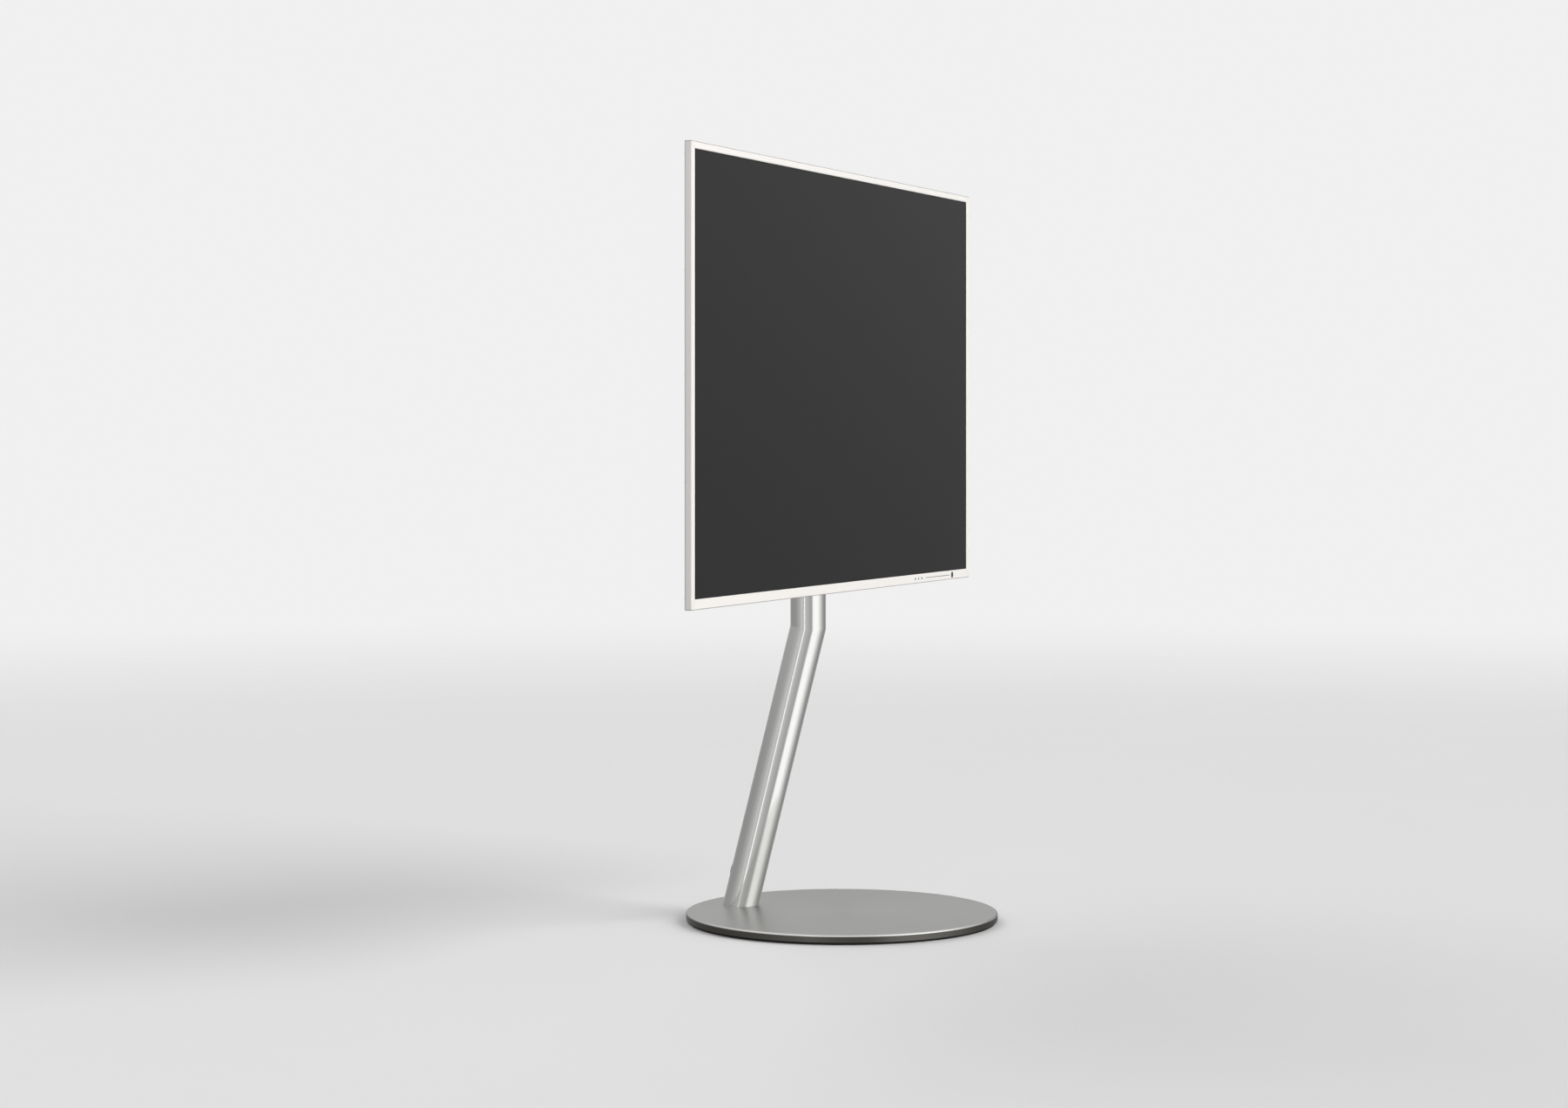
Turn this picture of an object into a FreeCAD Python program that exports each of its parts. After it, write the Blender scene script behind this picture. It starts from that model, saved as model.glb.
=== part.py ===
import FreeCAD, Part
import math
import os

os.makedirs("parts", exist_ok=True)
V = FreeCAD.Vector

# Display on a floor stand. Origin: centre of the base disc on the floor, +Z up,
# the display faces -Y, +X is its right-hand side as seen by a visitor. Sizes in mm.

# Display front and frame
VIEW_W = 1209.6           # visible glass, 55-inch class, 16:9
VIEW_H = 682.0
STILE_W = 13.0            # side rails, face width
TOP_RAIL_W = 11.0
BOTTOM_RAIL_W = 16.0
FRAME_BOTTOM_Z = 554.0
FRAME_BACK_Y = 5.2
LIP_T = 1.5               # front wall of a rail, also how far the glass is set back
WALL_T = 1.6              # outer wall of a rail
LIP_CHAMFER = 0.9
OUTER_CHAMFER = 0.5
MITRE_GAP = 0.4
GLASS_BITE = 4.0          # glass hidden behind the side and top rails
GLASS_BITE_BOTTOM = 1.8

# Layers behind the lip, front to back; together they set the depth of the frame
GASKET_T = 0.4
GLASS_T = 2.6
TOUCH_FILM_T = 0.2
CELL_T = 1.2
DIFFUSER_T = 0.3
PRISM_T = 0.3
LIGHT_GUIDE_T = 1.9
TRAY_T = 1.0
TRAY_SIDE_T = 0.8
TRAY_GAP = 0.6            # room for flat ribbons between tray and rear cover
COVER_T = 1.0
COVER_GAP = 0.3
GASKET_REVEAL = 0.8       # black gasket seen beside the glass
FILM_INSET = 3.0
CELL_INSET = 1.5
SHEET_INSET = 2.0
GUIDE_INSET = 3.0
LED_ROOM = 5.0
LED_STRIP_T = 1.2
LED_COUNT = 36

# Frame blocks and corner keys, with the cover screws they take
BLOCK_W = 4.6
BLOCK_LENGTH = 18.0
BLOCK_DEPTH = 4.5
KEY_LEG = 32.0
BLOCKS_ALONG = 3
COVER_SCREW_R = 1.25
COVER_HEAD_R = 2.3
COVER_HEAD_T = 1.2
COVER_SCREW_LENGTH = 4.5

# Controls on the bottom rail, distances from the right outer edge of the frame
POWER_KEY_EDGE = 91.8
LIGHT_BAR_EDGE = 106.0    # right end of the light bar
LIGHT_BAR_LENGTH = 124.0
KEY_PITCH = 16.0
KEY_TO_BAR = 20.0         # last small key to the left end of the light bar
KEY_COUNT = 3
KEY_R = 2.0
POWER_KEY_MARGIN = 0.7    # power key's hole to the rail's outer wall
KEY_GAP = 0.3             # free space round and behind a moving key
KEY_PROUD = 0.3
KEY_LENGTH = 3.7
KEY_FLANGE_T = 0.8
KEY_FLANGE_SIDE = 1.6     # flange reach beyond the cap, along the rail
KEY_TRAVEL = 0.8
LIGHT_BAR_H = 1.2
LIGHT_BAR_FOOT_H = 3.4
LIGHT_BAR_FOOT_T = 1.6
LIGHT_SLOT_GAP = 0.1
KEY_BOARD_T = 1.2
KEY_BOARD_MARGIN = 3.2    # key board to the rail's edges
KEY_BOARD_END = 12.0
KEY_BOARD_STANDOFF = 1.8
TACT_SIDE = 5.0
TACT_STEM = 0.3

# Rear housing
HOUSING_HALF_W = 400.0
HOUSING_MARGIN_Z = 110.0  # frame edge to housing, top and bottom
CHANNEL_HALF_W = 130.0    # flat middle the stand bolts to
CHANNEL_DEPTH = 7.0
SHELL_T = 2.2
LOBE_CHAMFER = 5.0
VENT_W = 4.0
VENT_H = 90.0
VENT_PITCH = 11.0
VENT_COUNT = 15
GRILLE_W = 120.0
GRILLE_SLOT_H = 3.0
GRILLE_PITCH = 7.0
GRILLE_COUNT = 6
HOUSING_POST_R = 5.0
HOUSING_SCREW_INSET = 14.0
HOUSING_HEAD_R = 2.9
HOUSING_HEAD_T = 2.0
HOUSING_SCREW_R = 1.5
HOUSING_SCREW_SEAT = 6.0  # seat of the screw head behind the rear cover
HEAD_GAP = 0.4

# Boards
PCB_T = 1.6
PCB_STANDOFF = 6.0
STANDOFF_R = 3.0
BOARD_SCREW_R = 1.5
BOARD_HEAD_R = 2.7
BOARD_HEAD_T = 1.6
BOARD_HOLE_INSET = 6.0
BOARD_W = 200.0
BOARD_NEAR_X = 175.0
POWER_BOARD_H = 178.0
POWER_BOARD_RISE = 54.0
MAIN_BOARD_H = 198.0
MAIN_BOARD_RISE = 8.0
TOUCH_BOARD_W = 90.0
TOUCH_BOARD_H = 44.0
TOUCH_BOARD_RISE = 244.0
TIMING_BOARD_W = 180.0
TIMING_BOARD_H = 46.0
TIMING_BOARD_DROP = 68.0
# Components as (left, low, width, height, rise) from the board's lower left corner
POWER_PARTS = [
    (20, 60, 46, 40, 15),     # transformer
    (84, 40, 34, 30, 14),     # choke
    (130, 30, 6, 110, 14),    # heat sink
    (20, 118, 70, 6, 14),     # second heat sink
    (30, 0, 24, 12, 9),       # mains plug
    (186, 50, 14, 26, 7),     # supply plug
]
POWER_CAPS = [(80, 95, 8, 16), (100, 95, 8, 16)] + [
    (152 + 20 * (step % 2), 100 + 18 * (step // 2), 6, 12) for step in range(6)]
MAIN_PARTS = [(60, 80, 44, 44, 4)] + [             # processor under its heat sink
    (60 + 8 * fin, 80, 2.5, 44, 10) for fin in range(6)] + [
    (120 + 20 * step, 90, 12, 16, 2) for step in range(3)]
MAIN_CAPS = [(40 + 14 * step, 150, 4, 8) for step in range(4)]
SIGNAL_PLUG = (0, 172, 24, 12, 5)
DC_PLUG = (0, 96, 14, 26, 7)
PORT_LENGTH = 18.0
TOUCH_PARTS = [(30, 12, 16, 16, 2), (62, 4, 18, 8, 4)]
RIBBON_PLUG_H = 8.0
CHIP_X = (-40, 0, 40)
CHIP_SIDE = 16.0
CHIP_T = 1.2
TIMING_PLUG_W = 14.0
TIMING_PLUG_H = 18.0
TIMING_PLUG_T = 2.4
SPEAKER_W = 130.0
SPEAKER_H = 46.0
SPEAKER_DEPTH = 20.0
SPEAKER_DROP = 72.0
SPEAKER_R = 18.0
CONE_DEPTH = 3.0

# Sockets and switch under the housing
SOCKET_MARGIN = 0.7       # socket flange to the edges of the housing's flat floor
INLET_X = -310.0
INLET_W = 27.0
INLET_D = 19.6
INLET_H = 22.0
INLET_FLANGE = 2.0        # flange reach and thickness
INLET_HOLE_W = 22.0
INLET_HOLE_D = 14.0
INLET_HOLE_H = 15.0
INLET_PINS = ((-7.0, -2.0), (7.0, -2.0), (0.0, 2.0))
PIN_HALF_W = 1.0
PIN_HALF_D = 2.0
PIN_SET_BACK = 3.0        # pin ends inside the mouth
SWITCH_X = -255.0
SWITCH_W = 22.0
SWITCH_D = 15.0
SWITCH_H = 16.0
SWITCH_WALL_T = 1.6
SWITCH_ROOF_T = 4.0
ROCKER_TILT = 7.0         # either way from level, degrees
ROCKER_TOP = 1.0          # rocker body above its pivot
ROCKER_TAPER = 0.8
ROCKER_PIVOT_RISE = 5.2
ROCKER_PIN_R = 1.2
PIN_CLEARANCE = 0.05
PANEL_W = 152.0
PANEL_D = 21.0
PANEL_T = 1.0
PANEL_EDGE = 9.0
PANEL_LEDGE = 1.5         # panel overlap front and back on the housing floor
PORT_GAP = 0.4
PORT_REACH = 1.2          # connector mouth below the main board's lower edge
PORT_SIZES = [(15.2, 6.0), (15.2, 6.0), (14.0, 7.0), (14.0, 7.0), (16.4, 13.4)]
PORT_PITCH = 24.0

# Internal cables
MAINS_CABLE_R = 3.0
MAINS_LEAD_IN = 0.3       # straight stretch at each end, share of the rise
MAINS_END_X = 42.0        # mains plug from the power board's left edge
DC_CABLE_R = 1.9
DC_BEND_R = 8.0
DC_LEAD_IN = 12.0
DC_SLOPE = 18.0
SIGNAL_CABLE_R = 1.5
SIGNAL_BEND_R = 8.0
SIGNAL_LEAD_IN = 16.0
SIGNAL_SLOPE = 18.0
CABLE_GAP = 0.6
RIBBON_W = 12.0
RIBBON_T = 0.3
RIBBON_BEND = 3.0
RIBBON_OUT_Y = 3.0        # ribbon behind the rear cover's back, at its plug
RIBBON_RISE = 20.0        # start of the window's slope up to the ribbon's end
RIBBON_SLOPE = 14.0
KEY_RIBBON_EXIT = 36.0    # key ribbon's window above the housing's floor
RIBBON_LEAD_IN = 4.0
PANEL_SLOPE = 10.0
PANEL_RIBBON_LAP = 8.0
WINDOW_GAP = 2.0

# Mounting plate and swivel
BOSS_PITCH = 200.0
BOSS_R = 7.0
BOSS_GAP = 0.3
M6_R = 3.0
PLATE_T = 4.0
PLATE_SIDE = 240.0
PLATE_CORNER = 18.0
VESA_HEAD_R = 5.25
VESA_HEAD_T = 3.3
SADDLE_DEPTH = 10.3
SADDLE_W = 70.0
SADDLE_H = 42.0
SADDLE_SCREW_X = 24.0
COUNTERSINK_R = 6.0
COUNTERSINK_DEPTH = 3.0
SADDLE_SCREW_LENGTH = 12.0
SLEEVE_LENGTH = 200.0
SLEEVE_T = 3.0
BUSH_T = 2.0
BUSH_LENGTH = 32.0
BUSH_FLANGE_R = 3.0       # flange reach beyond the bush body
BUSH_FLANGE_T = 2.0
RUNNING_CLEARANCE = 0.05
THRUST_GAP = 0.3
SWIVEL_LIMIT = 30.0       # degrees either way
STOP_PIN_R = 3.0
STOP_PIN_HEAD = 1.0       # pin reach beyond the sleeve
STOP_RISE = 60.0

# Column
TUBE_R = 30.0
TUBE_T = 2.6
KINK_DROP = 61.0          # frame bottom down to the kink
COLUMN_OVER_SLEEVE = 32.0
CAP_T = 4.0
CAP_PLUG_LENGTH = 16.0
PLUG_CLEARANCE = 0.1
COLLAR_T = 7.5
COLLAR_H = 20.0
SET_SCREW_R = 3.0
SET_SCREW_LENGTH = 7.0
SET_SCREW_ANGLES = (60.0, 120.0)
GROMMET_HOLE_R = 8.0
GROMMET_BORE_R = 5.5
GROMMET_LIP = 1.5
GROMMET_LIP_T = 0.8
UPPER_GROMMET_DROP = 60.0
LOWER_GROMMET_UP = 55.0   # along the leaning tube, from the foot

# Base
BASE_R = 262.5
BASE_T = 12.0
BASE_EDGE_R = 3.0
PAD_T = 4.0
PAD_INSET = 4.0
FOOT_INSET = 76.0         # foot centre in from the rim of the disc
FOOT_PLUG_H = 30.0
FOOT_SCREW_R = 4.0
FOOT_SCREW_WALL = 8.0     # tapped hole to the side of the foot plug
FOOT_SCREW_COUNT = 3
FOOT_HEAD_R = 8.0
FOOT_HEAD_T = 4.4
FOOT_SCREW_BITE = 18.0

# Derived sizes
FRAME_X = VIEW_W / 2 + STILE_W
FRAME_TOP_Z = FRAME_BOTTOM_Z + BOTTOM_RAIL_W + VIEW_H + TOP_RAIL_W
LAYERS = [GASKET_T, GLASS_T, TOUCH_FILM_T, CELL_T, DIFFUSER_T, PRISM_T, LIGHT_GUIDE_T]
FRAME_DEPTH = LIP_T + sum(LAYERS) + TRAY_T + TRAY_GAP + COVER_T
FRAME_FRONT_Y = FRAME_BACK_Y - FRAME_DEPTH
VIEW_X = VIEW_W / 2
VIEW_Z0 = FRAME_BOTTOM_Z + BOTTOM_RAIL_W
VIEW_Z1 = VIEW_Z0 + VIEW_H
MID_Z = (FRAME_BOTTOM_Z + FRAME_TOP_Z) / 2
COVER_Y = FRAME_BACK_Y - COVER_T
TRAY_BACK_Y = COVER_Y - TRAY_GAP
LIP_Y = FRAME_FRONT_Y + LIP_T
LAYER_Y = [LIP_Y + sum(LAYERS[:count]) for count in range(len(LAYERS) + 1)]
GASKET_Y, GLASS_Y, FILM_Y, CELL_Y, DIFFUSER_Y, PRISM_Y, GUIDE_Y, TRAY_FLOOR_Y = LAYER_Y
BLOCK_Y = COVER_Y - BLOCK_DEPTH

HOUSING_Z0 = FRAME_BOTTOM_Z + HOUSING_MARGIN_Z
HOUSING_Z1 = FRAME_TOP_Z - HOUSING_MARGIN_Z
CHANNEL_Y = FRAME_BACK_Y + CHANNEL_DEPTH
SOCKET_ROOM = INLET_D + 2 * (INLET_FLANGE + SOCKET_MARGIN)
SOCKET_Y = SOCKET_ROOM / 2
LOBE_DEPTH = SOCKET_ROOM + LOBE_CHAMFER
LOBE_Y = FRAME_BACK_Y + LOBE_DEPTH
PCB_Y = FRAME_BACK_Y + PCB_STANDOFF
PCB_TOP_Y = PCB_Y + PCB_T

CONTROL_Z = FRAME_BOTTOM_Z + BOTTOM_RAIL_W / 2
POWER_KEY_R = BOTTOM_RAIL_W / 2 - WALL_T - POWER_KEY_MARGIN - KEY_GAP
KEY_BOARD_H = BOTTOM_RAIL_W - 2 * KEY_BOARD_MARGIN
POWER_KEY_X = FRAME_X - POWER_KEY_EDGE
BAR_X1 = FRAME_X - LIGHT_BAR_EDGE
BAR_X0 = BAR_X1 - LIGHT_BAR_LENGTH
KEY_X = [BAR_X0 - KEY_TO_BAR - KEY_PITCH * step for step in range(KEY_COUNT)]
KEY_BOARD_X0 = KEY_X[-1] - KEY_BOARD_END
KEY_BOARD_X1 = POWER_KEY_X + KEY_BOARD_END
KEY_FRONT_Y = FRAME_FRONT_Y - KEY_PROUD
KEY_BACK_Y = KEY_FRONT_Y + KEY_LENGTH
KEY_BOARD_Y = COVER_Y - KEY_BOARD_STANDOFF - KEY_BOARD_T
SWITCH_TOP_Y = KEY_BACK_Y + KEY_TRAVEL + KEY_GAP

KEY_RIBBON_X = KEY_X[-1] + KEY_PITCH / 2
KEY_RIBBON_EXIT_Z = HOUSING_Z0 + KEY_RIBBON_EXIT
TOUCH_RIBBON_X = -(CHANNEL_HALF_W + HOUSING_HALF_W) / 2
TOUCH_RIBBON_EXIT_Z = HOUSING_Z0 + TOUCH_BOARD_RISE + BOARD_HOLE_INSET
PANEL_X = BOARD_NEAR_X + BOARD_W / 2

SLEEVE_BORE_R = TUBE_R + RUNNING_CLEARANCE + BUSH_T
SLEEVE_R = SLEEVE_BORE_R + SLEEVE_T
PLATE_BACK_Y = CHANNEL_Y + PLATE_T
AXIS_Y = PLATE_BACK_Y + SADDLE_DEPTH + SLEEVE_R
SLEEVE_Z0 = MID_Z - SLEEVE_LENGTH / 2
SLEEVE_Z1 = MID_Z + SLEEVE_LENGTH / 2
COLUMN_TOP_Z = SLEEVE_Z1 + COLUMN_OVER_SLEEVE
COLLAR_Z1 = SLEEVE_Z0 - BUSH_FLANGE_T - THRUST_GAP
COLLAR_Z0 = COLLAR_Z1 - COLLAR_H
TUBE_BORE_R = TUBE_R - TUBE_T
KINK_Z = FRAME_BOTTOM_Z - KINK_DROP
PLATE_TOP_Z = PAD_T + BASE_T
FOOT_Y = BASE_R - FOOT_INSET
FOOT_SCREW_PCD_R = TUBE_BORE_R - FOOT_SCREW_WALL - FOOT_SCREW_R
LEAN = math.atan2(FOOT_Y - AXIS_Y, KINK_Z - PLATE_TOP_Z)
LEAN_LENGTH = math.hypot(FOOT_Y - AXIS_Y, KINK_Z - PLATE_TOP_Z)
LEAN_UP = V(0, -math.sin(LEAN), math.cos(LEAN))
FOOT = V(0, FOOT_Y, PLATE_TOP_Z)


def box(x0, x1, y0, y1, z0, z1):
    return Part.makeBox(x1 - x0, y1 - y0, z1 - z0, V(x0, y0, z0))


def rod(start, direction, length, radius):
    return Part.makeCylinder(radius, length, start, direction)


def pipe(start, direction, length, outer, inner):
    return rod(start, direction, length, outer).cut(rod(start, direction, length, inner))


def prism(corners, y0, y1):
    """Flat outline of (x, z) corners made solid from y0 to y1."""
    points = [V(x, y0, z) for x, z in corners]
    return Part.Face(Part.makePolygon(points + points[:1])).extrude(V(0, y1 - y0, 0))


def joined(shapes):
    whole = shapes[0]
    if len(shapes) > 1:
        whole = whole.multiFuse(shapes[1:])
    return whole.removeSplitter()


def edges_on_y(shape, y):
    """Edges that lie wholly in the plane of that Y."""
    return [edge for edge in shape.Edges
            if all(abs(corner.Point.y - y) < 1e-4 for corner in edge.Vertexes)]


def rounded_path(points, bend):
    """Straight runs joined by tangent arcs."""
    edges = []
    start = points[0]
    for before, corner, after in zip(points, points[1:], points[2:]):
        back = (before - corner).normalize()
        ahead = (after - corner).normalize()
        half = back.getAngle(ahead) / 2
        trim = bend / math.tan(half)
        middle = (back + ahead).normalize()
        arc_start = corner + back * trim
        arc_end = corner + ahead * trim
        arc_mid = corner + middle * (bend / math.sin(half) - bend)
        edges.append(Part.makeLine(start, arc_start))
        edges.append(Part.Arc(arc_start, arc_mid, arc_end).toShape())
        start = arc_end
    edges.append(Part.makeLine(start, points[-1]))
    return Part.Wire(edges)


def cable(points, radius, bend):
    path = rounded_path(points, bend)
    circle = Part.makeCircle(radius, points[0], points[1] - points[0])
    return path.makePipeShell([Part.Wire([circle])], True, False)


def ribbon(x_mid, points_yz):
    """Flat ribbon along Z in the plane of constant X."""
    points = [V(x_mid, y, z) for y, z in points_yz]
    half_w = RIBBON_W / 2
    half_t = RIBBON_T / 2
    start = points[0]
    corners = [start + V(-half_w, -half_t, 0), start + V(half_w, -half_t, 0),
               start + V(half_w, half_t, 0), start + V(-half_w, half_t, 0)]
    section = Part.makePolygon(corners + corners[:1])
    return rounded_path(points, RIBBON_BEND).makePipeShell([section], True, False)


def save(name, shapes):
    """One STEP file per node; several solids make a group."""
    shape = shapes[0] if len(shapes) == 1 else Part.makeCompound(shapes)
    shape.exportStep("parts/" + name + ".step")


# Frame

def rail_corners(side):
    """Outline of one mitred rail, set back by half the joint gap at each end."""
    if side in ("top", "bottom"):
        width = TOP_RAIL_W if side == "top" else BOTTOM_RAIL_W
        outer = FRAME_TOP_Z if side == "top" else FRAME_BOTTOM_Z
        inner = VIEW_Z1 if side == "top" else VIEW_Z0
        back = MITRE_GAP / 2 * math.hypot(width, STILE_W) / width
        return [(-FRAME_X + back, outer), (FRAME_X - back, outer),
                (VIEW_X - back, inner), (-VIEW_X + back, inner)]
    sign = -1 if side == "left" else 1
    low = MITRE_GAP / 2 * math.hypot(BOTTOM_RAIL_W, STILE_W) / STILE_W
    high = MITRE_GAP / 2 * math.hypot(TOP_RAIL_W, STILE_W) / STILE_W
    return [(sign * FRAME_X, FRAME_BOTTOM_Z + low), (sign * FRAME_X, FRAME_TOP_Z - high),
            (sign * VIEW_X, VIEW_Z1 - high), (sign * VIEW_X, VIEW_Z0 + low)]


def rail_section(width):
    """Rail section as (distance in from the outer edge, y)."""
    return [(0, FRAME_BACK_Y), (0, FRAME_FRONT_Y + OUTER_CHAMFER),
            (OUTER_CHAMFER, FRAME_FRONT_Y), (width - LIP_CHAMFER, FRAME_FRONT_Y),
            (width, FRAME_FRONT_Y + LIP_CHAMFER), (width, LIP_Y),
            (WALL_T, LIP_Y), (WALL_T, FRAME_BACK_Y)]


def front_rail(side):
    """L-section extrusion, cut to the mitred outline."""
    if side in ("top", "bottom"):
        width = TOP_RAIL_W if side == "top" else BOTTOM_RAIL_W
        edge = FRAME_TOP_Z if side == "top" else FRAME_BOTTOM_Z
        inward = -1 if side == "top" else 1
        points = [V(-FRAME_X, y, edge + inward * reach) for reach, y in rail_section(width)]
        run = V(2 * FRAME_X, 0, 0)
    else:
        edge = -FRAME_X if side == "left" else FRAME_X
        inward = 1 if side == "left" else -1
        points = [V(edge + inward * reach, y, FRAME_BOTTOM_Z)
                  for reach, y in rail_section(STILE_W)]
        run = V(0, 0, FRAME_TOP_Z - FRAME_BOTTOM_Z)
    bar = Part.Face(Part.makePolygon(points + points[:1])).extrude(run)
    return bar.common(prism(rail_corners(side), FRAME_FRONT_Y - 1, FRAME_BACK_Y + 1))


def bottom_rail():
    """Bottom rail with the holes for the keys and the slot for the light bar."""
    rail = front_rail("bottom")
    start_y = FRAME_FRONT_Y - 1
    depth = LIP_T + 2
    for x in KEY_X:
        rail = rail.cut(rod(V(x, start_y, CONTROL_Z), V(0, 1, 0), depth, KEY_R + KEY_GAP))
    rail = rail.cut(rod(V(POWER_KEY_X, start_y, CONTROL_Z), V(0, 1, 0), depth,
                        POWER_KEY_R + KEY_GAP))
    half_h = LIGHT_BAR_H / 2 + LIGHT_SLOT_GAP
    slot = box(BAR_X0 - LIGHT_SLOT_GAP, BAR_X1 + LIGHT_SLOT_GAP, start_y, start_y + depth,
               CONTROL_Z - half_h, CONTROL_Z + half_h)
    return rail.cut(slot)


def cover_screw_points():
    """(x, z) of every rear cover screw: along each rail and in each corner key leg."""
    half_block = BLOCK_W / 2
    x_side = FRAME_X - WALL_T - half_block
    z_low = FRAME_BOTTOM_Z + WALL_T + half_block
    z_high = FRAME_TOP_Z - WALL_T - half_block
    x_span = FRAME_X - WALL_T - KEY_LEG
    z_span = (FRAME_TOP_Z - FRAME_BOTTOM_Z) / 2 - WALL_T - KEY_LEG
    blocks = []
    for step in range(BLOCKS_ALONG):
        share = 2 * (step + 1) / (BLOCKS_ALONG + 1) - 1
        low_x = (KEY_BOARD_X0 - x_span) / 2 + share * (KEY_BOARD_X0 + x_span) / 2
        blocks += [(low_x, z_low, "x"), (share * x_span, z_high, "x")]
        blocks += [(-x_side, MID_Z + share * z_span, "z"), (x_side, MID_Z + share * z_span, "z")]
    half_leg = KEY_LEG / 2
    keys = []
    for sign in (-1, 1):
        for z_edge, up in ((z_low, 1), (z_high, -1)):
            keys.append((sign * x_side, z_edge, sign, up, half_leg))
    return blocks, keys


def frame_blocks():
    blocks, _ = cover_screw_points()
    solids = []
    for x, z, along in blocks:
        half_x = BLOCK_LENGTH / 2 if along == "x" else BLOCK_W / 2
        half_z = BLOCK_W / 2 if along == "x" else BLOCK_LENGTH / 2
        block = box(x - half_x, x + half_x, BLOCK_Y, COVER_Y, z - half_z, z + half_z)
        solids.append(block.cut(rod(V(x, BLOCK_Y - 1, z), V(0, 1, 0), BLOCK_DEPTH + 2,
                                    COVER_SCREW_R)))
    return solids


def key_screw_points():
    _, keys = cover_screw_points()
    points = []
    for x, z, sign, up, half_leg in keys:
        points.append((x - sign * half_leg, z))
        points.append((x, z + up * half_leg))
    return points


def corner_keys():
    _, keys = cover_screw_points()
    half = BLOCK_W / 2
    solids = []
    for x, z, sign, up, half_leg in keys:
        reach_x = x - sign * (KEY_LEG - half)
        reach_z = z + up * (KEY_LEG - half)
        low_x, high_x = sorted((x + sign * half, reach_x))
        low_z, high_z = sorted((z - up * half, reach_z))
        flat = box(low_x, high_x, BLOCK_Y, COVER_Y, z - half, z + half)
        upright = box(x - half, x + half, BLOCK_Y, COVER_Y, low_z, high_z)
        key = joined([flat, upright])
        for hole_x, hole_z in ((x - sign * half_leg, z), (x, z + up * half_leg)):
            key = key.cut(rod(V(hole_x, BLOCK_Y - 1, hole_z), V(0, 1, 0), BLOCK_DEPTH + 2,
                              COVER_SCREW_R))
        solids.append(key)
    return solids


def all_cover_points():
    blocks, _ = cover_screw_points()
    return [(x, z) for x, z, _ in blocks] + key_screw_points()


def cover_screws():
    solids = []
    for x, z in all_cover_points():
        head = rod(V(x, FRAME_BACK_Y, z), V(0, 1, 0), COVER_HEAD_T, COVER_HEAD_R)
        shank = rod(V(x, FRAME_BACK_Y - COVER_SCREW_LENGTH, z), V(0, 1, 0),
                    COVER_SCREW_LENGTH, COVER_SCREW_R)
        solids.append(joined([head, shank]))
    return solids


# Display layers

def module_sheet(y0, y1, inset, bottom_inset=None):
    low = inset if bottom_inset is None else bottom_inset
    return box(-VIEW_X - GLASS_BITE + inset, VIEW_X + GLASS_BITE - inset, y0, y1,
               VIEW_Z0 - GLASS_BITE_BOTTOM + low, VIEW_Z1 + GLASS_BITE - inset)


def glass_gasket():
    reveal = GASKET_REVEAL
    hole = box(-VIEW_X + reveal, VIEW_X - reveal, GASKET_Y - 1, GLASS_Y + 1,
               VIEW_Z0 + reveal, VIEW_Z1 - reveal)
    return module_sheet(GASKET_Y, GLASS_Y, 0).cut(hole)


def led_bar():
    """Strip with its LED packages under the lower edge of the light guide."""
    x_end = VIEW_X + GLASS_BITE - GUIDE_INSET
    z0 = VIEW_Z0 - GLASS_BITE_BOTTOM + TRAY_SIDE_T
    z1 = z0 + LED_STRIP_T
    strip = box(-x_end, x_end, GUIDE_Y, TRAY_FLOOR_Y, z0, z1)
    pitch = 2 * x_end / LED_COUNT
    led_top = VIEW_Z0 - GLASS_BITE_BOTTOM + LED_ROOM - LED_STRIP_T / 2
    half = pitch / 6
    middle = [-x_end + pitch * (step + 0.5) for step in range(LED_COUNT)]
    leds = [box(x - half, x + half, GUIDE_Y, TRAY_FLOOR_Y, z1, led_top) for x in middle]
    return joined([strip] + leds)


def backlight_tray():
    tray = module_sheet(FILM_Y, TRAY_BACK_Y, 0)
    return tray.cut(module_sheet(FILM_Y - 1, TRAY_FLOOR_Y, TRAY_SIDE_T))


def boss_points():
    half = BOSS_PITCH / 2
    return [(x, z) for x in (-half, half) for z in (MID_Z - half, MID_Z + half)]


def ribbon_windows():
    """(x, low z, high z) of the rear cover windows the ribbons pass through."""
    half_t = TIMING_BOARD_W / 4
    board_top = HOUSING_Z1 - TIMING_BOARD_DROP + TIMING_BOARD_H
    windows = [(x, board_top + WINDOW_GAP, board_top + RIBBON_LEAD_IN + PANEL_SLOPE + WINDOW_GAP)
               for x in (-half_t, half_t)]
    for x, exit_z in ((KEY_RIBBON_X, KEY_RIBBON_EXIT_Z), (TOUCH_RIBBON_X, TOUCH_RIBBON_EXIT_Z)):
        slope_z = exit_z - RIBBON_LEAD_IN
        windows.append((x, slope_z - WINDOW_GAP, slope_z + RIBBON_SLOPE + WINDOW_GAP))
    return windows


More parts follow.
